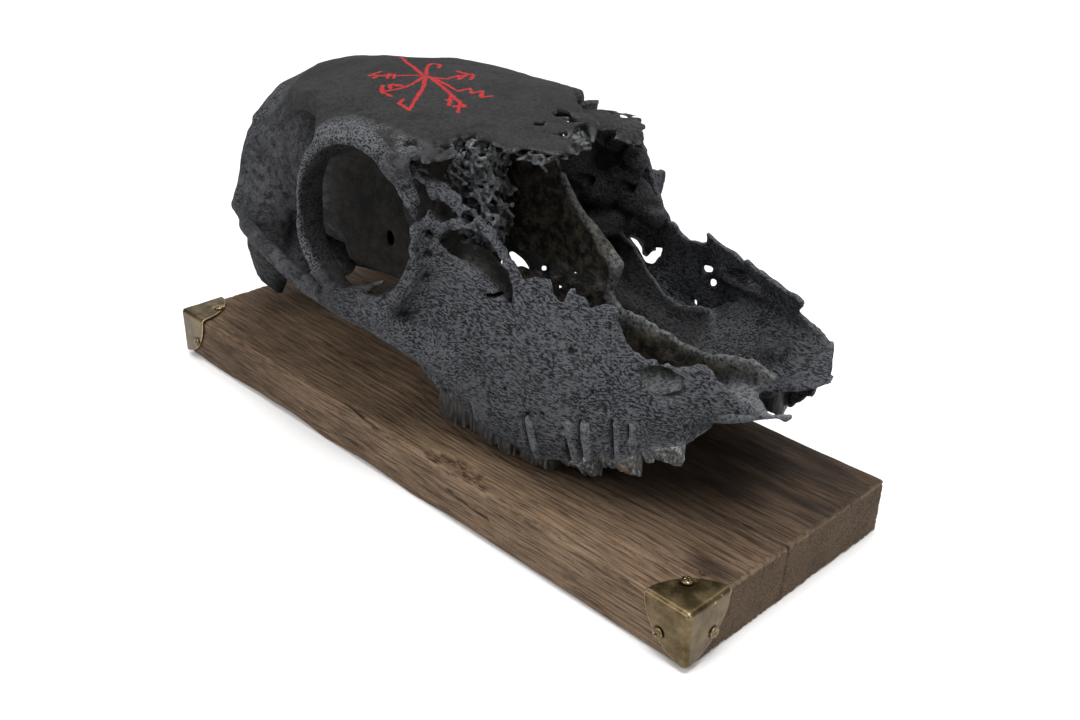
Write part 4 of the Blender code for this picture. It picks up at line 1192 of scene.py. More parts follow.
def wood_material():
    made, tree, inputs, place = start_material("weathered board", Specular_IOR_Level=0.15)
    gouged, stained, cracked = tree.marks()
    x, y, z = tree.add("ShaderNodeSeparateXYZ", place).outputs
    off_x = tree.math("DIVIDE", tree.minus(x, KNOT[0]), KNOT_REACH[0])
    off_y = tree.math("DIVIDE", tree.minus(y, KNOT[1]), KNOT_REACH[1])
    apart = tree.plus(tree.times(off_x, off_x), tree.times(tree.times(off_y, off_y), 0.25))
    push = tree.math("EXPONENT", tree.times(-1.0, apart))
    push = tree.times(tree.times(push, off_y), 0.010)
    slow = tree.grain(place, (7.0, 16.0, 16.0), 2.0)
    drift = tree.scaled(slow, 0.016, -0.008)
    fine = tree.times(tree.grain(place, (25.0, 260.0, 260.0), 3.0), 0.0016)
    line_y = tree.plus(tree.plus(tree.minus(y, PITH_Y), drift), push)
    across = tree.add("ShaderNodeCombineXYZ", line_y, tree.minus(z, PITH_Z), 0.0).outputs[0]
    radius = tree.plus(tree.vector("LENGTH", across), fine)
    ring = tree.math("FRACT", tree.times(radius, 1 / 0.0021))
    late = tree.times(tree.step(ring, 0.35, 0.85), tree.step(ring, 1.0, 0.93))
    fibres = use_group(tree, "fibres", Place=place, Along=60.0, Across=1500.0, Bend=0.0015)
    grit = use_group(tree, "grit", Place=place, Size=600.0, Amount=0.5)
    wear = use_group(tree, "wear", Place=place, Start=0.515, Full=0.55)
    cloud = tree.noise(place, 26.0, 4.0, 0.6)
    base = tree.mix(tree.step(cloud, 0.32, 0.68), (0.078, 0.048, 0.028), (0.150, 0.098, 0.060))
    base = tree.paint(base, late, (0.030, 0.018, 0.011), 0.40)
    base = tree.paint(base, fibres["Line"], (0.235, 0.165, 0.108), 0.45)
    base = tree.paint(base, tree.step(fibres["Height"], 0.44, 0.36), (0.022, 0.014, 0.009), 0.7)
    # Painted shade: the board is painted darker toward its back end, where less light falls
    painted_shade_toward_back = tree.step(x, -0.02, -0.14)
    base = tree.paint(base, painted_shade_toward_back, (0.024, 0.012, 0.005), 0.35)
    base = tree.paint(base, tree.step(x, 0.161, 0.1635), (0.020, 0.014, 0.010), 0.35)
    darker = tree.step(tree.grain(place, (26.0, 240.0, 240.0), 4.0, 0.7), 0.54, 0.72)
    base = tree.paint(base, darker, (0.024, 0.015, 0.010), 0.7)
    base = tree.paint(base, wear["Edge"], (0.24, 0.17, 0.115), 0.5)
    splinters = tree.grain(place, (140.0, 900.0, 900.0), 5.0, 0.75)
    torn = tree.mix(tree.step(splinters, 0.44, 0.60), (0.020, 0.011, 0.007), (0.20, 0.12, 0.07))
    base = tree.mix(tree.times(gouged, 0.85), base, torn)
    # The board's dark stain, together with the painted shadow under the skull's snout
    base = tree.paint(base, stained, (0.008, 0.005, 0.004), 0.9)
    base = tree.paint(base, cracked, (0.007, 0.005, 0.004), 0.95)
    base = tree.paint(base, grit["Pits"], (0.012, 0.008, 0.006), 0.6)
    height = tree.scaled(late, 0.7, tree.times(fibres["Height"], 0.9))
    height = tree.scaled(tree.times(gouged, splinters), 4.0, height)
    normal = tree.bump(height, 0.6, 0.0007)
    normal = tree.bump(grit["Height"], 0.5, 0.0005, normal)
    rough = tree.scaled(late, -0.1, 0.82)
    feed(tree, inputs, Base_Color=base, Roughness=rough, Normal=normal)
    return made


def brass_material():
    made, tree, inputs, place = start_material("aged brass", Metallic=1.0)
    wear = use_group(tree, "wear", Place=place, Start=0.505, Full=0.55)
    grit = use_group(tree, "grit", Place=place, Size=1300.0, Amount=0.25)
    cloud = tree.noise(place, 120.0, 5.0, 0.65)
    smear = tree.noise(place, 700.0, 4.0, 0.7)
    base = tree.mix(tree.step(cloud, 0.35, 0.68), (0.065, 0.046, 0.021), (0.165, 0.122, 0.066))
    base = tree.paint(base, tree.step(smear, 0.5, 0.7), (0.08, 0.06, 0.035), 0.4)
    base = tree.paint(base, wear["Edge"], (0.40, 0.30, 0.17))
    base = tree.paint(base, wear["Hollow"], (0.03, 0.022, 0.012), 0.8)
    rough = tree.scaled(tree.step(cloud, 0.3, 0.7), 0.14, 0.27)
    normal = tree.bump(tree.plus(grit["Height"], tree.times(cloud, 0.6)), 0.22, 0.0004)
    feed(tree, inputs, Base_Color=base, Roughness=rough, Normal=normal)
    return made


BONE = bone_material("black stained bone", False)
SIGNED_BONE = bone_material("stained bone with the red sign", True)
TOOTH, WOOD, BRASS = tooth_material(), wood_material(), brass_material()


def dress(piece, finish, slot, *nodes):
    """Gives a finished piece its material and body, and hides the CAD nodes that it stands for. Its slot is
    not used.
    """
    piece.data.materials.clear()
    piece.data.materials.append(finish)
    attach(piece, "root")
    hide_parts(*nodes)


# Skull

def mark_skull(piece, sieve_start):
    """Marks the inside, which gets painted shade, the chalky broken ridges and the spongy bone."""
    points = drawn(point_places(piece))
    x, y, z = points.T
    half = face_half_width(x, z)
    # Inside of the nose and its floor: the inside gets painted shade, the floor less of it
    inside = ramp(half - 3.6 - np.abs(y), 1.6) * ramp(x - 4, 6) * ramp(166 - x, 20)
    inside *= ramp(forehead_height(x, y) - 6 - z, 4) * (z > palate_height(x, y) - 1.5)
    floor = ramp(1 - np.abs(z - palate_height(x, y)) / 5) * ramp(x - 84, 12)
    trough = floor * ramp(4 - y, 4) * ramp(half - 2.4 - np.abs(y), 1.5)
    # Broken ridges
    keel_top = ramp(z - 80, 5) * (np.abs(y) < 4) * (x > 68)
    crust = (np.abs(y) < 5) * ramp(1 - np.abs(outline_distance(DIVIDING_PLATE, x, z)) / 4) * (x > 40)
    scroll_rim = (np.abs(y - 42) < 7) * ramp(1 - np.abs(outline_distance(NOSE_SCROLL, x, z)) / 2.5) * (z > 72)
    margin = ramp(1.3 - (z - np.interp(x, *np.array(NEAR_RIM).T)) / 1.6)
    margin *= (x > 82) * (x < 140) * (y < 0) * (z < 75)
    # The inside of the eye socket gets painted shade too
    socket = ramp(x + 62, 10) * ramp(24 - x, 6) * ramp(150 - z, 4) * (z > 70)
    socket *= ramp(58 - np.abs(y), 5)
    inner = np.maximum(ramp(inside - 0.85 * floor), socket)
    pale = np.maximum.reduce([trough * 0.9, keel_top * 0.7, crust * 0.45, scroll_rim * 0.5, margin * 0.9])
    # Spongy bone round the eye socket and on the crest
    rim = np.sqrt(((x - 4) / 33) ** 2 + ((z - 123) / 35) ** 2)
    rim = ramp(1.30 + 0.12 * point_noise(points, 7, 41) - rim, 0.1) * ramp(np.abs(y) - 50, 5)
    rim *= ramp(30 - x, 14) * ramp(z - 100 + 0.5 * np.maximum(-x, 0), 10)
    crest = 0.6 * np.exp(-(((x + 120) / 9) ** 2)) * ramp(z - 84, 8)
    # Pits in front of the eye, the linings of the sockets and the nerve opening, which all get painted shade,
    # and the bare roots, which are pale
    pits = ramp(half - 1.9 - np.abs(y), 1.2) * (y < 0) * (x > 17) * (x < 72) * (z > 98) * (z < 144)
    for side in (-1, 1):
        forward, up, outward = eye_places(side, x, y, z)
        ring = np.sqrt((forward / EYE_HALF_LENGTH) ** 2 + (up / EYE_HALF_HEIGHT) ** 2)
        lining = ramp(1.035 - ring, 0.02) * ramp(0.5 - outward, 1.5) * (outward > -30)
        inner = np.maximum(inner, 0.8 * lining * (forward < 20))
    inner = np.maximum(inner, pits * 0.85)
    opening = rope(NERVE_OPENING, 6.4, (1.4, 1, 1))(x, y, z)
    inner = np.maximum(inner, ramp(-opening / 0.6) * ramp(half - 1.0 - np.abs(y), 1.0))
    inner = inner * np.where(y > 14, 0.6, 1.0)
    for root, top, radius in BARE_ROOTS:
        low = curve(root, LOW_HEIGHT)
        bare = ramp(radius + 0.7 - np.abs(x - root - (top - z) * ROOT_LEAN), 0.8) * (y < 0)
        pale = np.maximum(pale, 0.6 * bare * (z > low) * (z < top + 1.5) * (half - np.abs(y) < 1.6))
    # Strands and foam, which come last in the mesh. All of them get painted shade, with more of it and less
    # of the pale the deeper they lie
    sieve = np.arange(len(x)) >= sieve_start
    deep = ramp(y + 38, 8) * (y < -20)
    inner = np.where(sieve, 0.35 + 0.5 * deep, inner)
    pale = np.where(sieve, ramp(0.55 + 0.6 * point_noise(points, 3, 42) - 0.3 * deep), pale)
    add_marks(piece, inner, pale, np.maximum(rim, crest) * ~sieve)


# Thin strands of the broken sieve bone in front of the near eye socket, (x, y, z), each with its radius
STRANDS = [
    ([(36.6, -27, 149.7), (36.1, -27, 147.3), (34.4, -27, 143.8), (35.3, -27, 140.5), (36.4, -27, 136.9),
      (40, -27, 133.9), (43.3, -27, 134)], 0.62),
    ([(39.9, -27, 150), (38, -27, 146.6), (37.2, -27, 143.7), (36.6, -27, 140.5), (37.2, -27, 137.9),
      (39.4, -27, 134.9), (41.1, -27, 134.1)], 0.5),
    ([(43.5, -27, 134), (40, -27, 132.3), (37.2, -27, 134), (35, -27, 136.6),
      (33.9, -27, 139.4)], 0.45),
    ([(37.2, -27, 134), (37.4, -30, 133.2), (36.6, -30, 127.8), (38.8, -30, 124), (40.5, -30, 119.3),
      (39.5, -30, 112.6)], 0.7),
    ([(30.5, -34, 137.8), (31.1, -34, 140.6), (33.9, -34, 142.5), (37.1, -34, 140.6), (38.8, -34, 137.5),
      (36.3, -34, 134.4), (32.1, -34, 134.9), (30.5, -34, 137.8)], 0.75),
    ([(33.9, -34, 142.5), (33.9, -32, 143.2), (38.2, -32, 140.4), (39.9, -32, 137.3), (40.4, -32, 134),
      (38, -31, 130)], 0.6),
    ([(24, -36, 149), (26.7, -36, 145), (30.5, -36, 142.9), (33.9, -34, 141.4)], 0.6),
    ([(21, -41, 148), (25.6, -40, 145.6), (29.5, -40, 143.8), (31.7, -40, 141.7), (36.1, -40, 140.5)], 0.55),
    ([(23, -41, 147), (27.8, -40, 144.2), (32.3, -40, 143.4), (35, -40, 141.4), (37.2, -34, 140)], 0.5),
    ([(27, -43, 143), (30.6, -42, 141.3), (33.4, -42, 141), (35.6, -40, 140)], 0.6),
    ([(26, -44, 140), (30.6, -42, 137.6), (33.3, -42, 136.4), (36.6, -38, 134.5)], 0.6),
    ([(34, -40, 128), (37.1, -38, 130), (39.3, -38, 129.9), (41.8, -36, 129.2), (38, -31, 127)], 0.6),
    ([(36.3, -34, 134.4), (35.4, -36, 131.7), (38.2, -36, 130.1), (41, -36, 134.7)], 0.55),
    ([(25, -34, 152), (26.7, -34, 148.4), (28.3, -34, 146.5), (31.7, -34, 143.8)], 0.6),
    ([(29.5, -32, 152), (31.1, -32, 149.8), (33.9, -32, 148.2), (37.2, -32, 146.6), (37, -30, 143)], 0.55),
    ([(30.6, -30, 152), (34.4, -30, 149), (37.2, -30, 148.5)], 0.55),
    ([(44, -20, 151), (46, -19, 147), (45, -17, 143), (47, -15, 139)], 0.55),
    ([(40, -8, 151), (44, -9, 147), (49, -9, 146), (53, -10, 148)], 0.55),
    ([(30, 2, 152), (36, 3, 149), (42, 2, 148), (47, 0, 150)], 0.6),
    ([(44, 12, 150), (48, 9, 146), (53, 10, 143), (52, 16, 140)], 0.7),
    ([(38, 18, 148), (43, 19, 144), (48, 22, 141), (50, 27, 139)], 0.7),
    ([(33, 24, 148), (37, 26, 143), (41, 29, 140), (46, 30, 138)], 0.8),
]
# Where a foam of thin bone hangs between them: outline (x, z), middle y and half-depth
FOAM = [
    ([(21, 152), (18, 146), (22, 139), (29, 134), (35, 131), (37, 124), (37, 114), (41, 116), (43, 124),
      (47, 123), (42, 130), (43, 134), (39.5, 140), (41, 152)], -35, 8),
    ([(16, 140), (24, 136), (30, 128), (36, 120), (36, 108), (26, 108), (18, 122)], -34, 5),
    ([(38, 153), (40, 149.5), (52, 148), (60, 148), (64, 152)], -24, 9),
    ([(44, 153), (46, 147), (56, 146), (62, 152)], -6, 5),
]


def add_sieve_bone(piece, solid):
    """Joins a finer skin of strands and foam to the skull's mesh, without bits that touch no solid bone."""
    field = Field((10, -50, 100), (68, 36, 156), 0.48)
    x, y, z = field.places()
    waves = lattice_noise(field.axes, 4.2, 51) + 0.35 * lattice_noise(field.axes, 2.0, 54)
    holes = lattice_noise(field.axes, 2.4, 52) + 0.5 * lattice_noise(field.axes, 1.4, 53)
    foam = np.maximum(np.abs(waves) * 1.7 - 0.34, (holes - 0.30) * 1.5)
    for outline, middle, deep in FOAM:
        within = np.maximum(outline_distance(outline, x, z), np.abs(y - middle) - deep) + holes
        field.value = np.minimum(field.value, smooth_max(foam, within, 0.4)).astype(SINGLE)
    field.value = np.maximum(field.value, z + 1.2 - forehead_height(x, y)).astype(SINGLE)
    for points, radius in STRANDS:
        low, high = rope_box(points, radius, (1, 1, 1), 1)
        cut, spread = field.region(low, high)
        strand = rope(points, radius * 0.9)(*spread) + 0.4 * holes[cut]
        field.value[cut] = smooth_min(field.value[cut], strand.astype(SINGLE), 0.8)
    points, quads = surface_net(field.value, field.low, field.cell)
    label = part_labels(points, quads)
    nearest = np.round((points - solid.low) / solid.cell).astype(int)
    touching = np.unique(label[solid.value[tuple(nearest.T)] < -0.2])
    points, quads = kept_part(points, quads, np.isin(label, touching))
    sieve = mesh_object("sieve bone", real(points), quads)
    thin_out(sieve, SIEVE_TRIANGLES)
    keep_in_box(sieve)
    both = bmesh.new()
    both.from_mesh(piece.data)
    both.from_mesh(sieve.data)
    both.to_mesh(piece.data)
    both.free()
    piece.data.shade_smooth()
    bpy.data.objects.remove(sieve, do_unlink=True)


def give_sign(piece):
    """The faces of the forehead round the sign take the material that has it."""
    piece.data.materials.append(SIGNED_BONE)
    middles = np.empty(len(piece.data.polygons) * 3, SINGLE)
    piece.data.polygons.foreach_get("center", middles)
    x, y, z = drawn(middles.reshape(-1, 3)).T
    near_sign = (x > -84) & (x < 16) & (y > -42) & (y < 18) & (z > 137)
    piece.data.polygons.foreach_set("material_index", near_sign.astype(np.int32))


skull, skull_field = make_skull()
skull_points = len(skull.data.vertices)
add_sieve_bone(skull, skull_field)
mark_skull(skull, skull_points)
dress(skull, BONE, "bone", "skull")
give_sign(skull)


# Teeth

def make_tooth(side, name, start, length, width, tip):
    """A worn cheek tooth, ribbed on its cheek side. The near front ones are broken off aslant."""
    middle = start + length / 2
    margin = float(curve(middle, LOW_HEIGHT))
    broken = side < 0 and name in ("p4", "p3", "p2")
    inset = width / 2 + 0.9 if broken else TOOTH_INSET - 1.0
    y0 = side * (float(face_half_width(middle, margin)) - inset)
    tip = tip - (1.5 if broken else 0)
    low = (start - 4, y0 - width, tip - 3)
    high = (start + length + 4, y0 + width, margin + 10)
    field = Field(low, high, 0.55)
    x, y, z = field.places()
    lumps = lattice_noise(field.axes, 3.2, int(start) + 40 * (side > 0))
    crumbs = lattice_noise(field.axes, (1.2, 1.5, 4.5), int(start) + 41)
    out = (y - y0) * side
    rng = np.random.default_rng(int(start) + 70)
    crown = tooth_form(middle, y0, length, width - (0.6 if broken else 1.6), tip, margin + 9)
    field.join(low, high, crown)
    for share in (-0.45, -0.22, 0.02, 0.25, 0.45):
        rib = middle + (share + rng.uniform(-0.04, 0.04)) * length
        edge = y0 + side * width * 0.45
        foot = tip + rng.uniform(0.5, 4.5)
        field.join_rope([(rib, edge, foot), (rib + 0.8, edge - side * 0.6, margin + 6)], [0.7, 1.2], 1.2)
    for lobe in (-1, 1):
        hollow = middle + lobe * length * 0.25
        crescent = [(hollow - 3.2, y0, tip - 0.6), (hollow, y0 - side * 1.8, tip - 0.4),
                    (hollow + 3.2, y0, tip - 0.6)]
        field.cut_rope(crescent, 1.5, 0.8)
    chewed = tip + 1.0 + 1.6 * np.abs(np.sin((x - start) / length * 2 * np.pi))
    bottom = chewed + lumps * 1.5 + crumbs * 0.6
    if broken:
        # The break runs from the rim at the cheek down and inward
        rim = np.interp(x, *np.array(NEAR_RIM).T) + 0.2 + lumps * 0.8
        slant = (rim + 1.15 * (out - width * 0.45) + crumbs * 1.4 - z) / 1.5
        field.value = smooth_max(field.value, slant, 0.4)
    field.value = smooth_max(field.value, bottom - z, 0.6)
    field.value += (lumps * 0.22).astype(SINGLE)
    points, quads = surface_net(field.value, field.low, field.cell)
    points, quads = largest_part(points, quads)
    word = "near" if side < 0 else "far"
    tooth = mesh_object(f"{word}_tooth_{name}", real(points), quads)
    x, y, z = points.T
    out = (y - y0) * side
    if broken:
        rim = np.interp(x, *np.array(NEAR_RIM).T) + 1.2 * point_noise(points, 2.5, 61)
        face = ramp(rim + 0.5 - z, 1.5)
        lip = np.exp(-(((z - rim) / 1.1) ** 2))
        chalk = np.maximum(lip, face * 0.7)
    else:
        chalk = ramp(tip + 2 - z, 2.5) * 0.3
    spot = ramp(1.3 - np.hypot(x - 111.5, z - 46.5) / 2.4) if side < 0 else 0
    add_marks(tooth, chalk, spot, 0)
    dress(tooth, TOOTH, "tooth", f"tooth_{word}_{name}")


for side in (-1, 1):
    for tooth in CHEEK_TEETH:
        make_tooth(side, *tooth)


# Board

GOUGE = [(20, -58), (30, -52), (44, -50), (58, -54), (64, -61), (50, -62), (38, -60), (28, -62)]
TOP_CRACKS = [
    ([(-30, -58), (-12, -60.5), (3, -62)], 0.8, 1.8), ([(60, -22), (92, -24), (120, -23)], 0.4, 1.0),
    ([(120, -6), (150, -4.5), (165, -4)], 0.5, 1.6), ([(-140, 12), (-96, 10)], 0.4, 0.9),
    ([(20, -40), (60, -38), (84, -38.5)], 0.35, 0.9), ([(-90, -30), (-50, -33)], 0.35, 0.8),
]
SIDE_CRACKS = [([(40, 14), (52, 12.5), (64, 12)], 0.6, 2.0), ([(-60, 9), (-20, 8)], 0.3, 0.8)]
END_CRACK = ([(-3.6, 26), (-4.6, 13), (-5.4, 1)], 0.45, 1.8)


def line_away(line, u, v):
    """Distance to an open line in its plane."""
    nearest = np.full(u.shape, 1e9)
    for a, b in zip(np.array(line, float), np.array(line[1:], float)):
        t = ramp(((u - a[0]) * (b - a)[0] + (v - a[1]) * (b - a)[1]) / ((b - a) @ (b - a)))
        nearest = np.minimum(nearest, np.hypot(u - a[0] - (b - a)[0] * t, v - a[1] - (b - a)[1] * t))
    return nearest


def box_skin(counts):
    """Points on the skin of a box of whole steps, from 0 to 1 on each axis, and its quads."""
    number, points, quads = {}, [], []

    def point(spot):
        if spot not in number:
            number[spot] = len(points)
            points.append(spot)
        return number[spot]

    for axis in range(3):
        u, v = (axis + 1) % 3, (axis + 2) % 3
        for end in (0, counts[axis]):
            for i in range(counts[u]):
                for j in range(counts[v]):
                    ring = []
                    for di, dj in ((0, 0), (1, 0), (1, 1), (0, 1)):
                        spot = [0, 0, 0]
                        spot[axis], spot[u], spot[v] = end, i + di, j + dj
                        ring.append(point(tuple(spot)))
                    quads.append(ring if end else ring[::-1])
    return np.array(points, float) / counts, np.array(quads)


def make_board():
    counts = ((236, 136, 24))
    share, quads = box_skin(counts)
    half = np.array((BOARD_LENGTH / 2, BOARD_WIDTH / 2, BOARD_TOP / 2))
    spot = (share * 2 - 1) * half
    # Rounded and worn edges: the box is pulled in to a softened shape
    near_top = ramp(-spot[:, 1] / half[1] * 10 - 9) * ramp(spot[:, 2] / half[2] * 3 - 1)
    edge = 1.2 + 1.3 * near_top + 0.5 * point_noise(spot, (22, 18, 18), 11)
    edge += 0.3 * point_noise(spot, (6, 5, 5), 12)
    core = np.clip(spot, -(half - edge[:, None]), half - edge[:, None])
    out = spot - core
    reach = np.linalg.norm(out, axis=1)
    out = out / np.maximum(reach, 1e-9)[:, None]
    spot = core + out * np.minimum(reach, edge)[:, None]
    x, y, z = spot.T
    top = share[:, 2] == 1
    sawn_ends = (share[:, 0] == 0) | (share[:, 0] == 1)
    gouge = outline_distance(GOUGE, x, y) + 1.6 * point_noise(spot, 4, 13)
    gouged = ramp(-gouge / 3) * top
    depth = gouged * (1.0 + 0.8 * point_noise(spot, (6, 2.2, 2.2), 14) + 0.5 * point_noise(spot, 1.8, 15))
    crack = np.zeros(len(spot))
    over_floor = z + half[2]
    near_top_face, near_side, near_end = z > half[2] - 1.5, y < -half[1] + 1.5, x > half[0] - 1.5
    for lines, u, v, where in ((TOP_CRACKS, x, y, near_top_face), (SIDE_CRACKS, x, over_floor, near_side),
                               ([END_CRACK], y, over_floor, near_end)):
        for line, width, deep in lines:
            away = line_away(line, u + 0.8 * point_noise(spot, 9, 16), v)
            opened = ramp(1 - away / width) * where
            depth = depth + opened * deep * 0.8
            crack = np.maximum(crack, ramp(1.25 - away / width) * where)
    weather = (0.15 + 0.22 * point_noise(spot, (30, 1.7, 1.7), 17)
               + 0.16 * point_noise(spot, (60, 4.5, 4.5), 18) + 0.10 * point_noise(spot, (8, 1.1, 1.1), 19))
    # The sawn end is rougher, and its rings stand out in arcs
    ring = np.sin(np.hypot(y - PITH_Y / MM, z + half[2] - PITH_Z / MM) * 2 * np.pi / 2.1)
    weather = weather + sawn_ends * (0.12 * ring + 0.12 * point_noise(spot, 1.6, 20))
    hollow = np.clip(depth, 0, 3) + ramp(weather)
    # The nail hole behind the near front cap
    nail = np.hypot(x - 152.2, y + 38.7)
    hollow = hollow + top * ramp(1.7 - nail) * 2.6
    # The bottom edge of the near side is worn away in waves
    wave = ramp(4 - (z + half[2]), 4) * (y < -half[1] + 3)
    y = y + wave * (1.2 + 1.1 * point_noise(spot, (30, 99, 99), 21))
    spot = np.stack([x, y, z], 1)
    normal = np.where(np.abs(share * 2 - 1) == 1, np.sign(share * 2 - 1), 0.0)
    normal /= np.linalg.norm(normal, axis=1)[:, None]
    flat = normal[:, 2] != -1
    spot = spot - normal * (hollow * flat)[:, None]
    spot = np.clip(spot, -half, half)
    spot[:, 2] += half[2]
    board = mesh_object("weathered_board", spot * MM, quads)
    # A dark stain over the board's right part, also painting part of the skull's shadow, and a second patch
    # that is the painted shadow under the skull's snout. The small patches by the near front cap and round
    # the nail hole are stains
    stain_and_shadow = ramp(1.6 - np.hypot((x - 122) / 54, (y - 32) / 44))
    stain_and_shadow *= 0.85 + 0.35 * point_noise(spot, (24, 5, 5), 22)
    stain_and_shadow = np.maximum(stain_and_shadow, 0.9 * ramp(1.6 - np.hypot((x - 78) / 64, (y - 4) / 36)))
    stain_and_shadow = np.maximum(stain_and_shadow, ramp(1.4 - np.hypot((x - 153) / 11, (y + 35) / 5)) * 0.8)
    stain_and_shadow = np.maximum(stain_and_shadow, ramp(1.3 - nail / 1.5))
    add_marks(board, gouged, stain_and_shadow * top, crack)
    dress(board, WOOD, "wood", "board")


make_board()


# Corner caps and screws

CAP_REACH = (20.5, 23.2, 23.2)
CAP_GAP, CAP_WALL, CAP_EDGE = 0.3, 1.0, 2.0
SCREW_INSET, SCREW_END_INSET, SCREW_DROP = 11.7, 13.1, 13.1
SCREW_HEAD, SCREW_RISE, SCREW_SHANK = 2.4, 1.1, 1.0


def screw_spots():
    """Each screw's name, its seat on the board and its direction out, in millimetres."""
    for word, end in (("front", 1), ("back", -1)):
        x = end * (BOARD_LENGTH / 2 - SCREW_INSET)
        y = -(BOARD_WIDTH / 2 - SCREW_END_INSET)
        z = BOARD_TOP - SCREW_DROP
        yield f"screw_{word}_top", (x, y, BOARD_TOP), (0, 0, 1)
        yield f"screw_{word}_side", (x, -BOARD_WIDTH / 2, z), (0, -1, 0)
        yield f"screw_{word}_end", (end * BOARD_LENGTH / 2, y, z), (end, 0, 0)


def make_cap(word, end):
    """Drawn with its corner at zero and its plates along +x, +y and +z, then turned into place."""
    outer = CAP_GAP + CAP_WALL
    field = Field((-3,) * 3, (25,) * 3, 0.3)
    x, y, z = field.places()
    dents = lattice_noise(field.axes, 6, 31 + end)

    def rounded(inset, radius):
        across = [np.maximum(radius - (axis + inset), 0) for axis in (x, y, z)]
        inner = np.minimum(np.minimum(x, y), z) + inset - radius
        return np.sqrt(sum(a * a for a in across)) - radius - np.maximum(inner, 0)

    outside = rounded(outer, CAP_EDGE) + dents * 0.12
    inside = rounded(CAP_GAP, 1.2)
    size = [np.maximum(axis + outer, 0) / reach for axis, reach in zip((x, y, z), CAP_REACH)]
    outline = (sum(s**1.9 for s in size) ** (1 / 1.9) - 1) * 20
    shell = smooth_max(smooth_max(outside, -inside, 0.3), outline, 0.6)
    field.value = shell.astype(SINGLE)
    # The shallow dish that each screw has pressed into its plate
    for flat, middle in ((0, [-outer, SCREW_END_INSET, SCREW_DROP]), (1, [SCREW_INSET, -outer, SCREW_DROP]),
                         (2, [SCREW_INSET, SCREW_END_INSET, -outer])):
        dish = ellipsoid(middle, [0.45 if k == flat else 3.0 for k in range(3)])
        field.cut((-3,) * 3, (25,) * 3, dish, 0.4)
    points, quads = surface_net(field.value, field.low, field.cell)
    points, quads = largest_part(points, quads)
    corner = np.array((end * BOARD_LENGTH / 2, -BOARD_WIDTH / 2, BOARD_TOP))
    cap = mesh_object(f"corner_cap_{word}", (corner + points * (-end, 1, -1)) * MM, quads)
    dress(cap, BRASS, "brass", f"cap_{word}")


make_cap("front", 1)
make_cap("back", -1)


def screw_head_mesh():
    """One cross-slotted pan head with a short shank, standing on z = 0."""
    field = Field((-3, -3, -1.6), (3, 3, 2), 0.15)
    x, y, z = field.places()
    away = np.sqrt(x * x + y * y)
    dome = smooth_max(away - SCREW_HEAD + 0.05, z - (SCREW_RISE - 0.11 * away**2), 0.5)
    head = smooth_max(dome, -z, 0.2)
    shank = np.maximum(away - SCREW_SHANK, np.maximum(z - 0.4, -z - 1.2))
    head = smooth_min(head, shank, 0.2)
    slot_half, slot_reach = 0.36, 1.35
    slot = np.minimum(np.maximum(np.abs(x) - slot_half, np.abs(y) - slot_reach),
                      np.maximum(np.abs(y) - slot_half, np.abs(x) - slot_reach))
    slot = np.maximum(slot + 0.25 * (1.2 - z), 0.25 - z)
    field.value = smooth_max(head, -slot, 0.12).astype(SINGLE)
    points, quads = surface_net(field.value, field.low, field.cell)
    return mesh_object("one screw", points * MM, quads)


def screw_tree(pattern):
    """Places the screw on every point, turned by the point's own direction and a twist of its own."""
    tree = bpy.data.node_groups.new("screws of the caps", "GeometryNodeTree")
    tree.interface.new_socket("Seats", in_out="INPUT", socket_type="NodeSocketGeometry")
    size = tree.interface.new_socket("Screw size", in_out="INPUT", socket_type="NodeSocketFloat")
    size.default_value = 1.0
    finish = tree.interface.new_socket("Finish", in_out="INPUT", socket_type="NodeSocketMaterial")
    tree.interface.new_socket("Screws", in_out="OUTPUT", socket_type="NodeSocketGeometry")
    nodes = Tree(tree)
    given = nodes.add("NodeGroupInput").outputs
    outward = nodes.add("GeometryNodeInputNamedAttribute", "outward", data_type="FLOAT_VECTOR")
    turn = nodes.add("FunctionNodeAlignRotationToVector", None, None, outward.outputs[0], axis="Z")
    twist = nodes.add("FunctionNodeRandomValue", data_type="FLOAT", named={"Seed": 7})
    twist.inputs[2].default_value, twist.inputs[3].default_value = 0.0, 1.5
    spin = nodes.add("FunctionNodeAxisAngleToRotation", (0, 0, 1), twist.outputs[1])
    both = nodes.add("FunctionNodeRotateRotation", turn.outputs[0], spin.outputs[0], rotation_space="LOCAL")
    screw = nodes.add("GeometryNodeObjectInfo", pattern)
    placed = nodes.add(
        "GeometryNodeInstanceOnPoints", given["Seats"], None, screw.outputs["Geometry"], None, None,
        both.outputs[0], given["Screw size"])
    real_ones = nodes.add("GeometryNodeRealizeInstances", placed.outputs[0])
    painted = nodes.add("GeometryNodeSetMaterial", real_ones.outputs[0], None, given["Finish"])
    nodes.tree.links.new(painted.outputs[0], nodes.add("NodeGroupOutput").inputs[0])
    return tree, size.identifier, finish.identifier


def make_screws():
    pattern = screw_head_mesh()
    spots = list(screw_spots())
    seat = CAP_GAP + CAP_WALL + 0.1
    mesh = bpy.data.meshes.new("screw seats")
    mesh.from_pydata([tuple((np.array(at) + np.array(out) * seat) * MM) for _, at, out in spots], [], [])
    outward = mesh.attributes.new("outward", "FLOAT_VECTOR", "POINT")
    outward.data.foreach_set("vector", np.array([out for _, _, out in spots], SINGLE).ravel())
    screws = bpy.data.objects.new("cap_screws", mesh)
    bpy.context.scene.collection.objects.link(screws)
    tree, size_key, finish_key = screw_tree(pattern)
    step = screws.modifiers.new("screws", "NODES")
    step.node_group = tree
    step[size_key] = 1.0
    step[finish_key] = BRASS
    bpy.context.view_layer.update()
    settle(screws)
    bpy.data.objects.remove(pattern, do_unlink=True)
    screws.data.shade_smooth()
    dress(screws, BRASS, "brass", *[name for name, _, _ in spots])


make_screws()


# Studio

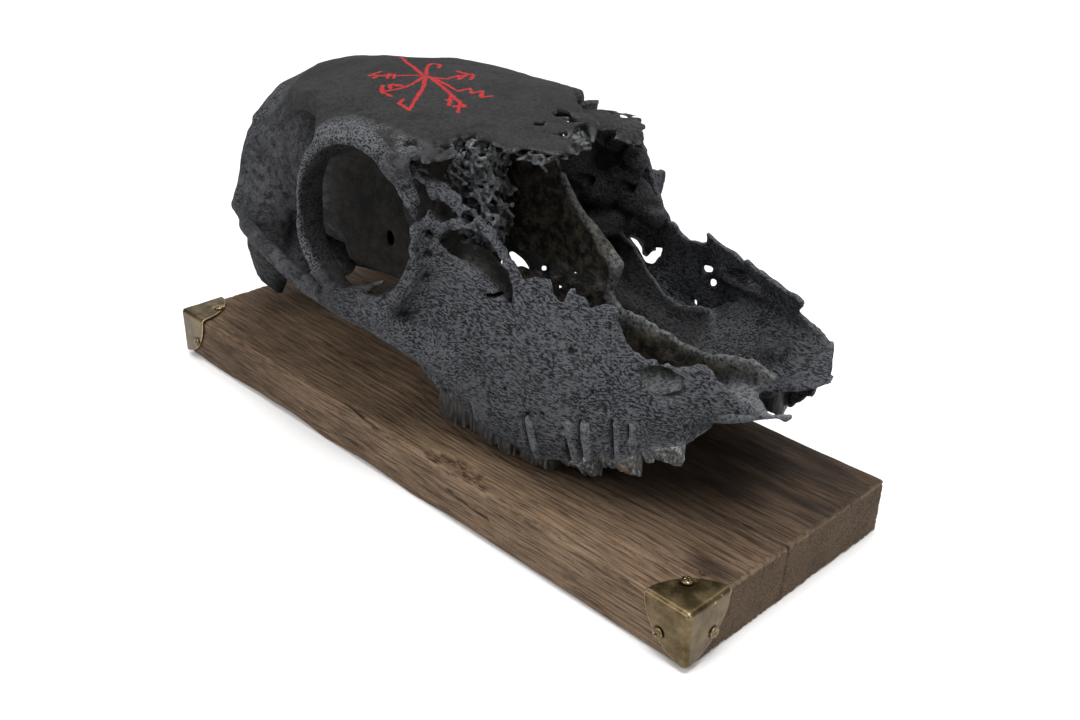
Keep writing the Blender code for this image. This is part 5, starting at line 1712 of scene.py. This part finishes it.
def make_floor():
    corners = [(-6, -6, 0), (6, -6, 0), (6, 6, 0), (-6, 6, 0)]
    floor = mesh_object("floor", corners, [(0, 1, 2, 3)], smooth=False)
    pale = bpy.data.materials.new("pale studio floor")
    pale.use_nodes = True
    shader = pale.node_tree.nodes["Principled BSDF"]
    shader.inputs["Base Color"].default_value = (0.86, 0.86, 0.86, 1)
    shader.inputs["Roughness"].default_value = 0.9
    floor.data.materials.append(pale)


def add_light(name, place, target, size, watts):
    data = bpy.data.lights.new(name, "AREA")
    data.shape = "RECTANGLE"
    data.size, data.size_y = size
    data.energy = watts
    lamp = bpy.data.objects.new(name, data)
    lamp.matrix_world = Matrix.Translation(place) @ (
        Vector(target) - Vector(place)).to_track_quat("-Z", "Y").to_matrix().to_4x4()
    bpy.context.scene.collection.objects.link(lamp)


def make_camera():
    """The photograph's own place and angle, solved from the board's corners."""
    right = (0.69961463, 0.71434839, 0.01567634)
    down = (0.33661891, -0.31016491, -0.88909248)
    ahead = (-0.63025953, 0.62729906, -0.45745909)
    place = (0.34901, -0.31716, 0.27936)
    rows = [(r, -d, -a, p) for r, d, a, p in zip(right, down, ahead, place)] + [(0, 0, 0, 1)]
    data = bpy.data.cameras.new("camera")
    data.sensor_fit = "HORIZONTAL"
    data.sensor_width, data.lens = 36.0, 39.51
    data.clip_start, data.clip_end = 0.02, 50
    camera = bpy.data.objects.new("camera", data)
    camera.matrix_world = Matrix(rows)
    bpy.context.scene.collection.objects.link(camera)
    bpy.context.scene.camera = camera


def make_studio():
    make_floor()
    add_light("overhead softbox", (0.22, -0.12, 0.95), (0.05, 0, 0.05), (0.5, 0.5), 8)
    add_light("near softbox", (-0.35, -1.1, 0.75), (0, 0, 0.08), (0.7, 0.7), 7)
    add_light("front softbox", (1.2, -0.3, 0.8), (0, 0, 0.08), (0.6, 0.6), 4)
    add_light("backdrop light", (-1.6, 1.7, 2.4), (-1.6, 1.7, 0), (3.0, 3.0), 80)
    world = bpy.data.worlds.new("studio")
    world.use_nodes = True
    sky = world.node_tree.nodes["Background"]
    sky.inputs["Color"].default_value = (1, 1, 1, 1)
    sky.inputs["Strength"].default_value = 0.42
    bpy.context.scene.world = world
    bpy.context.scene.view_settings.view_transform = "Standard"
    make_camera()


make_studio()
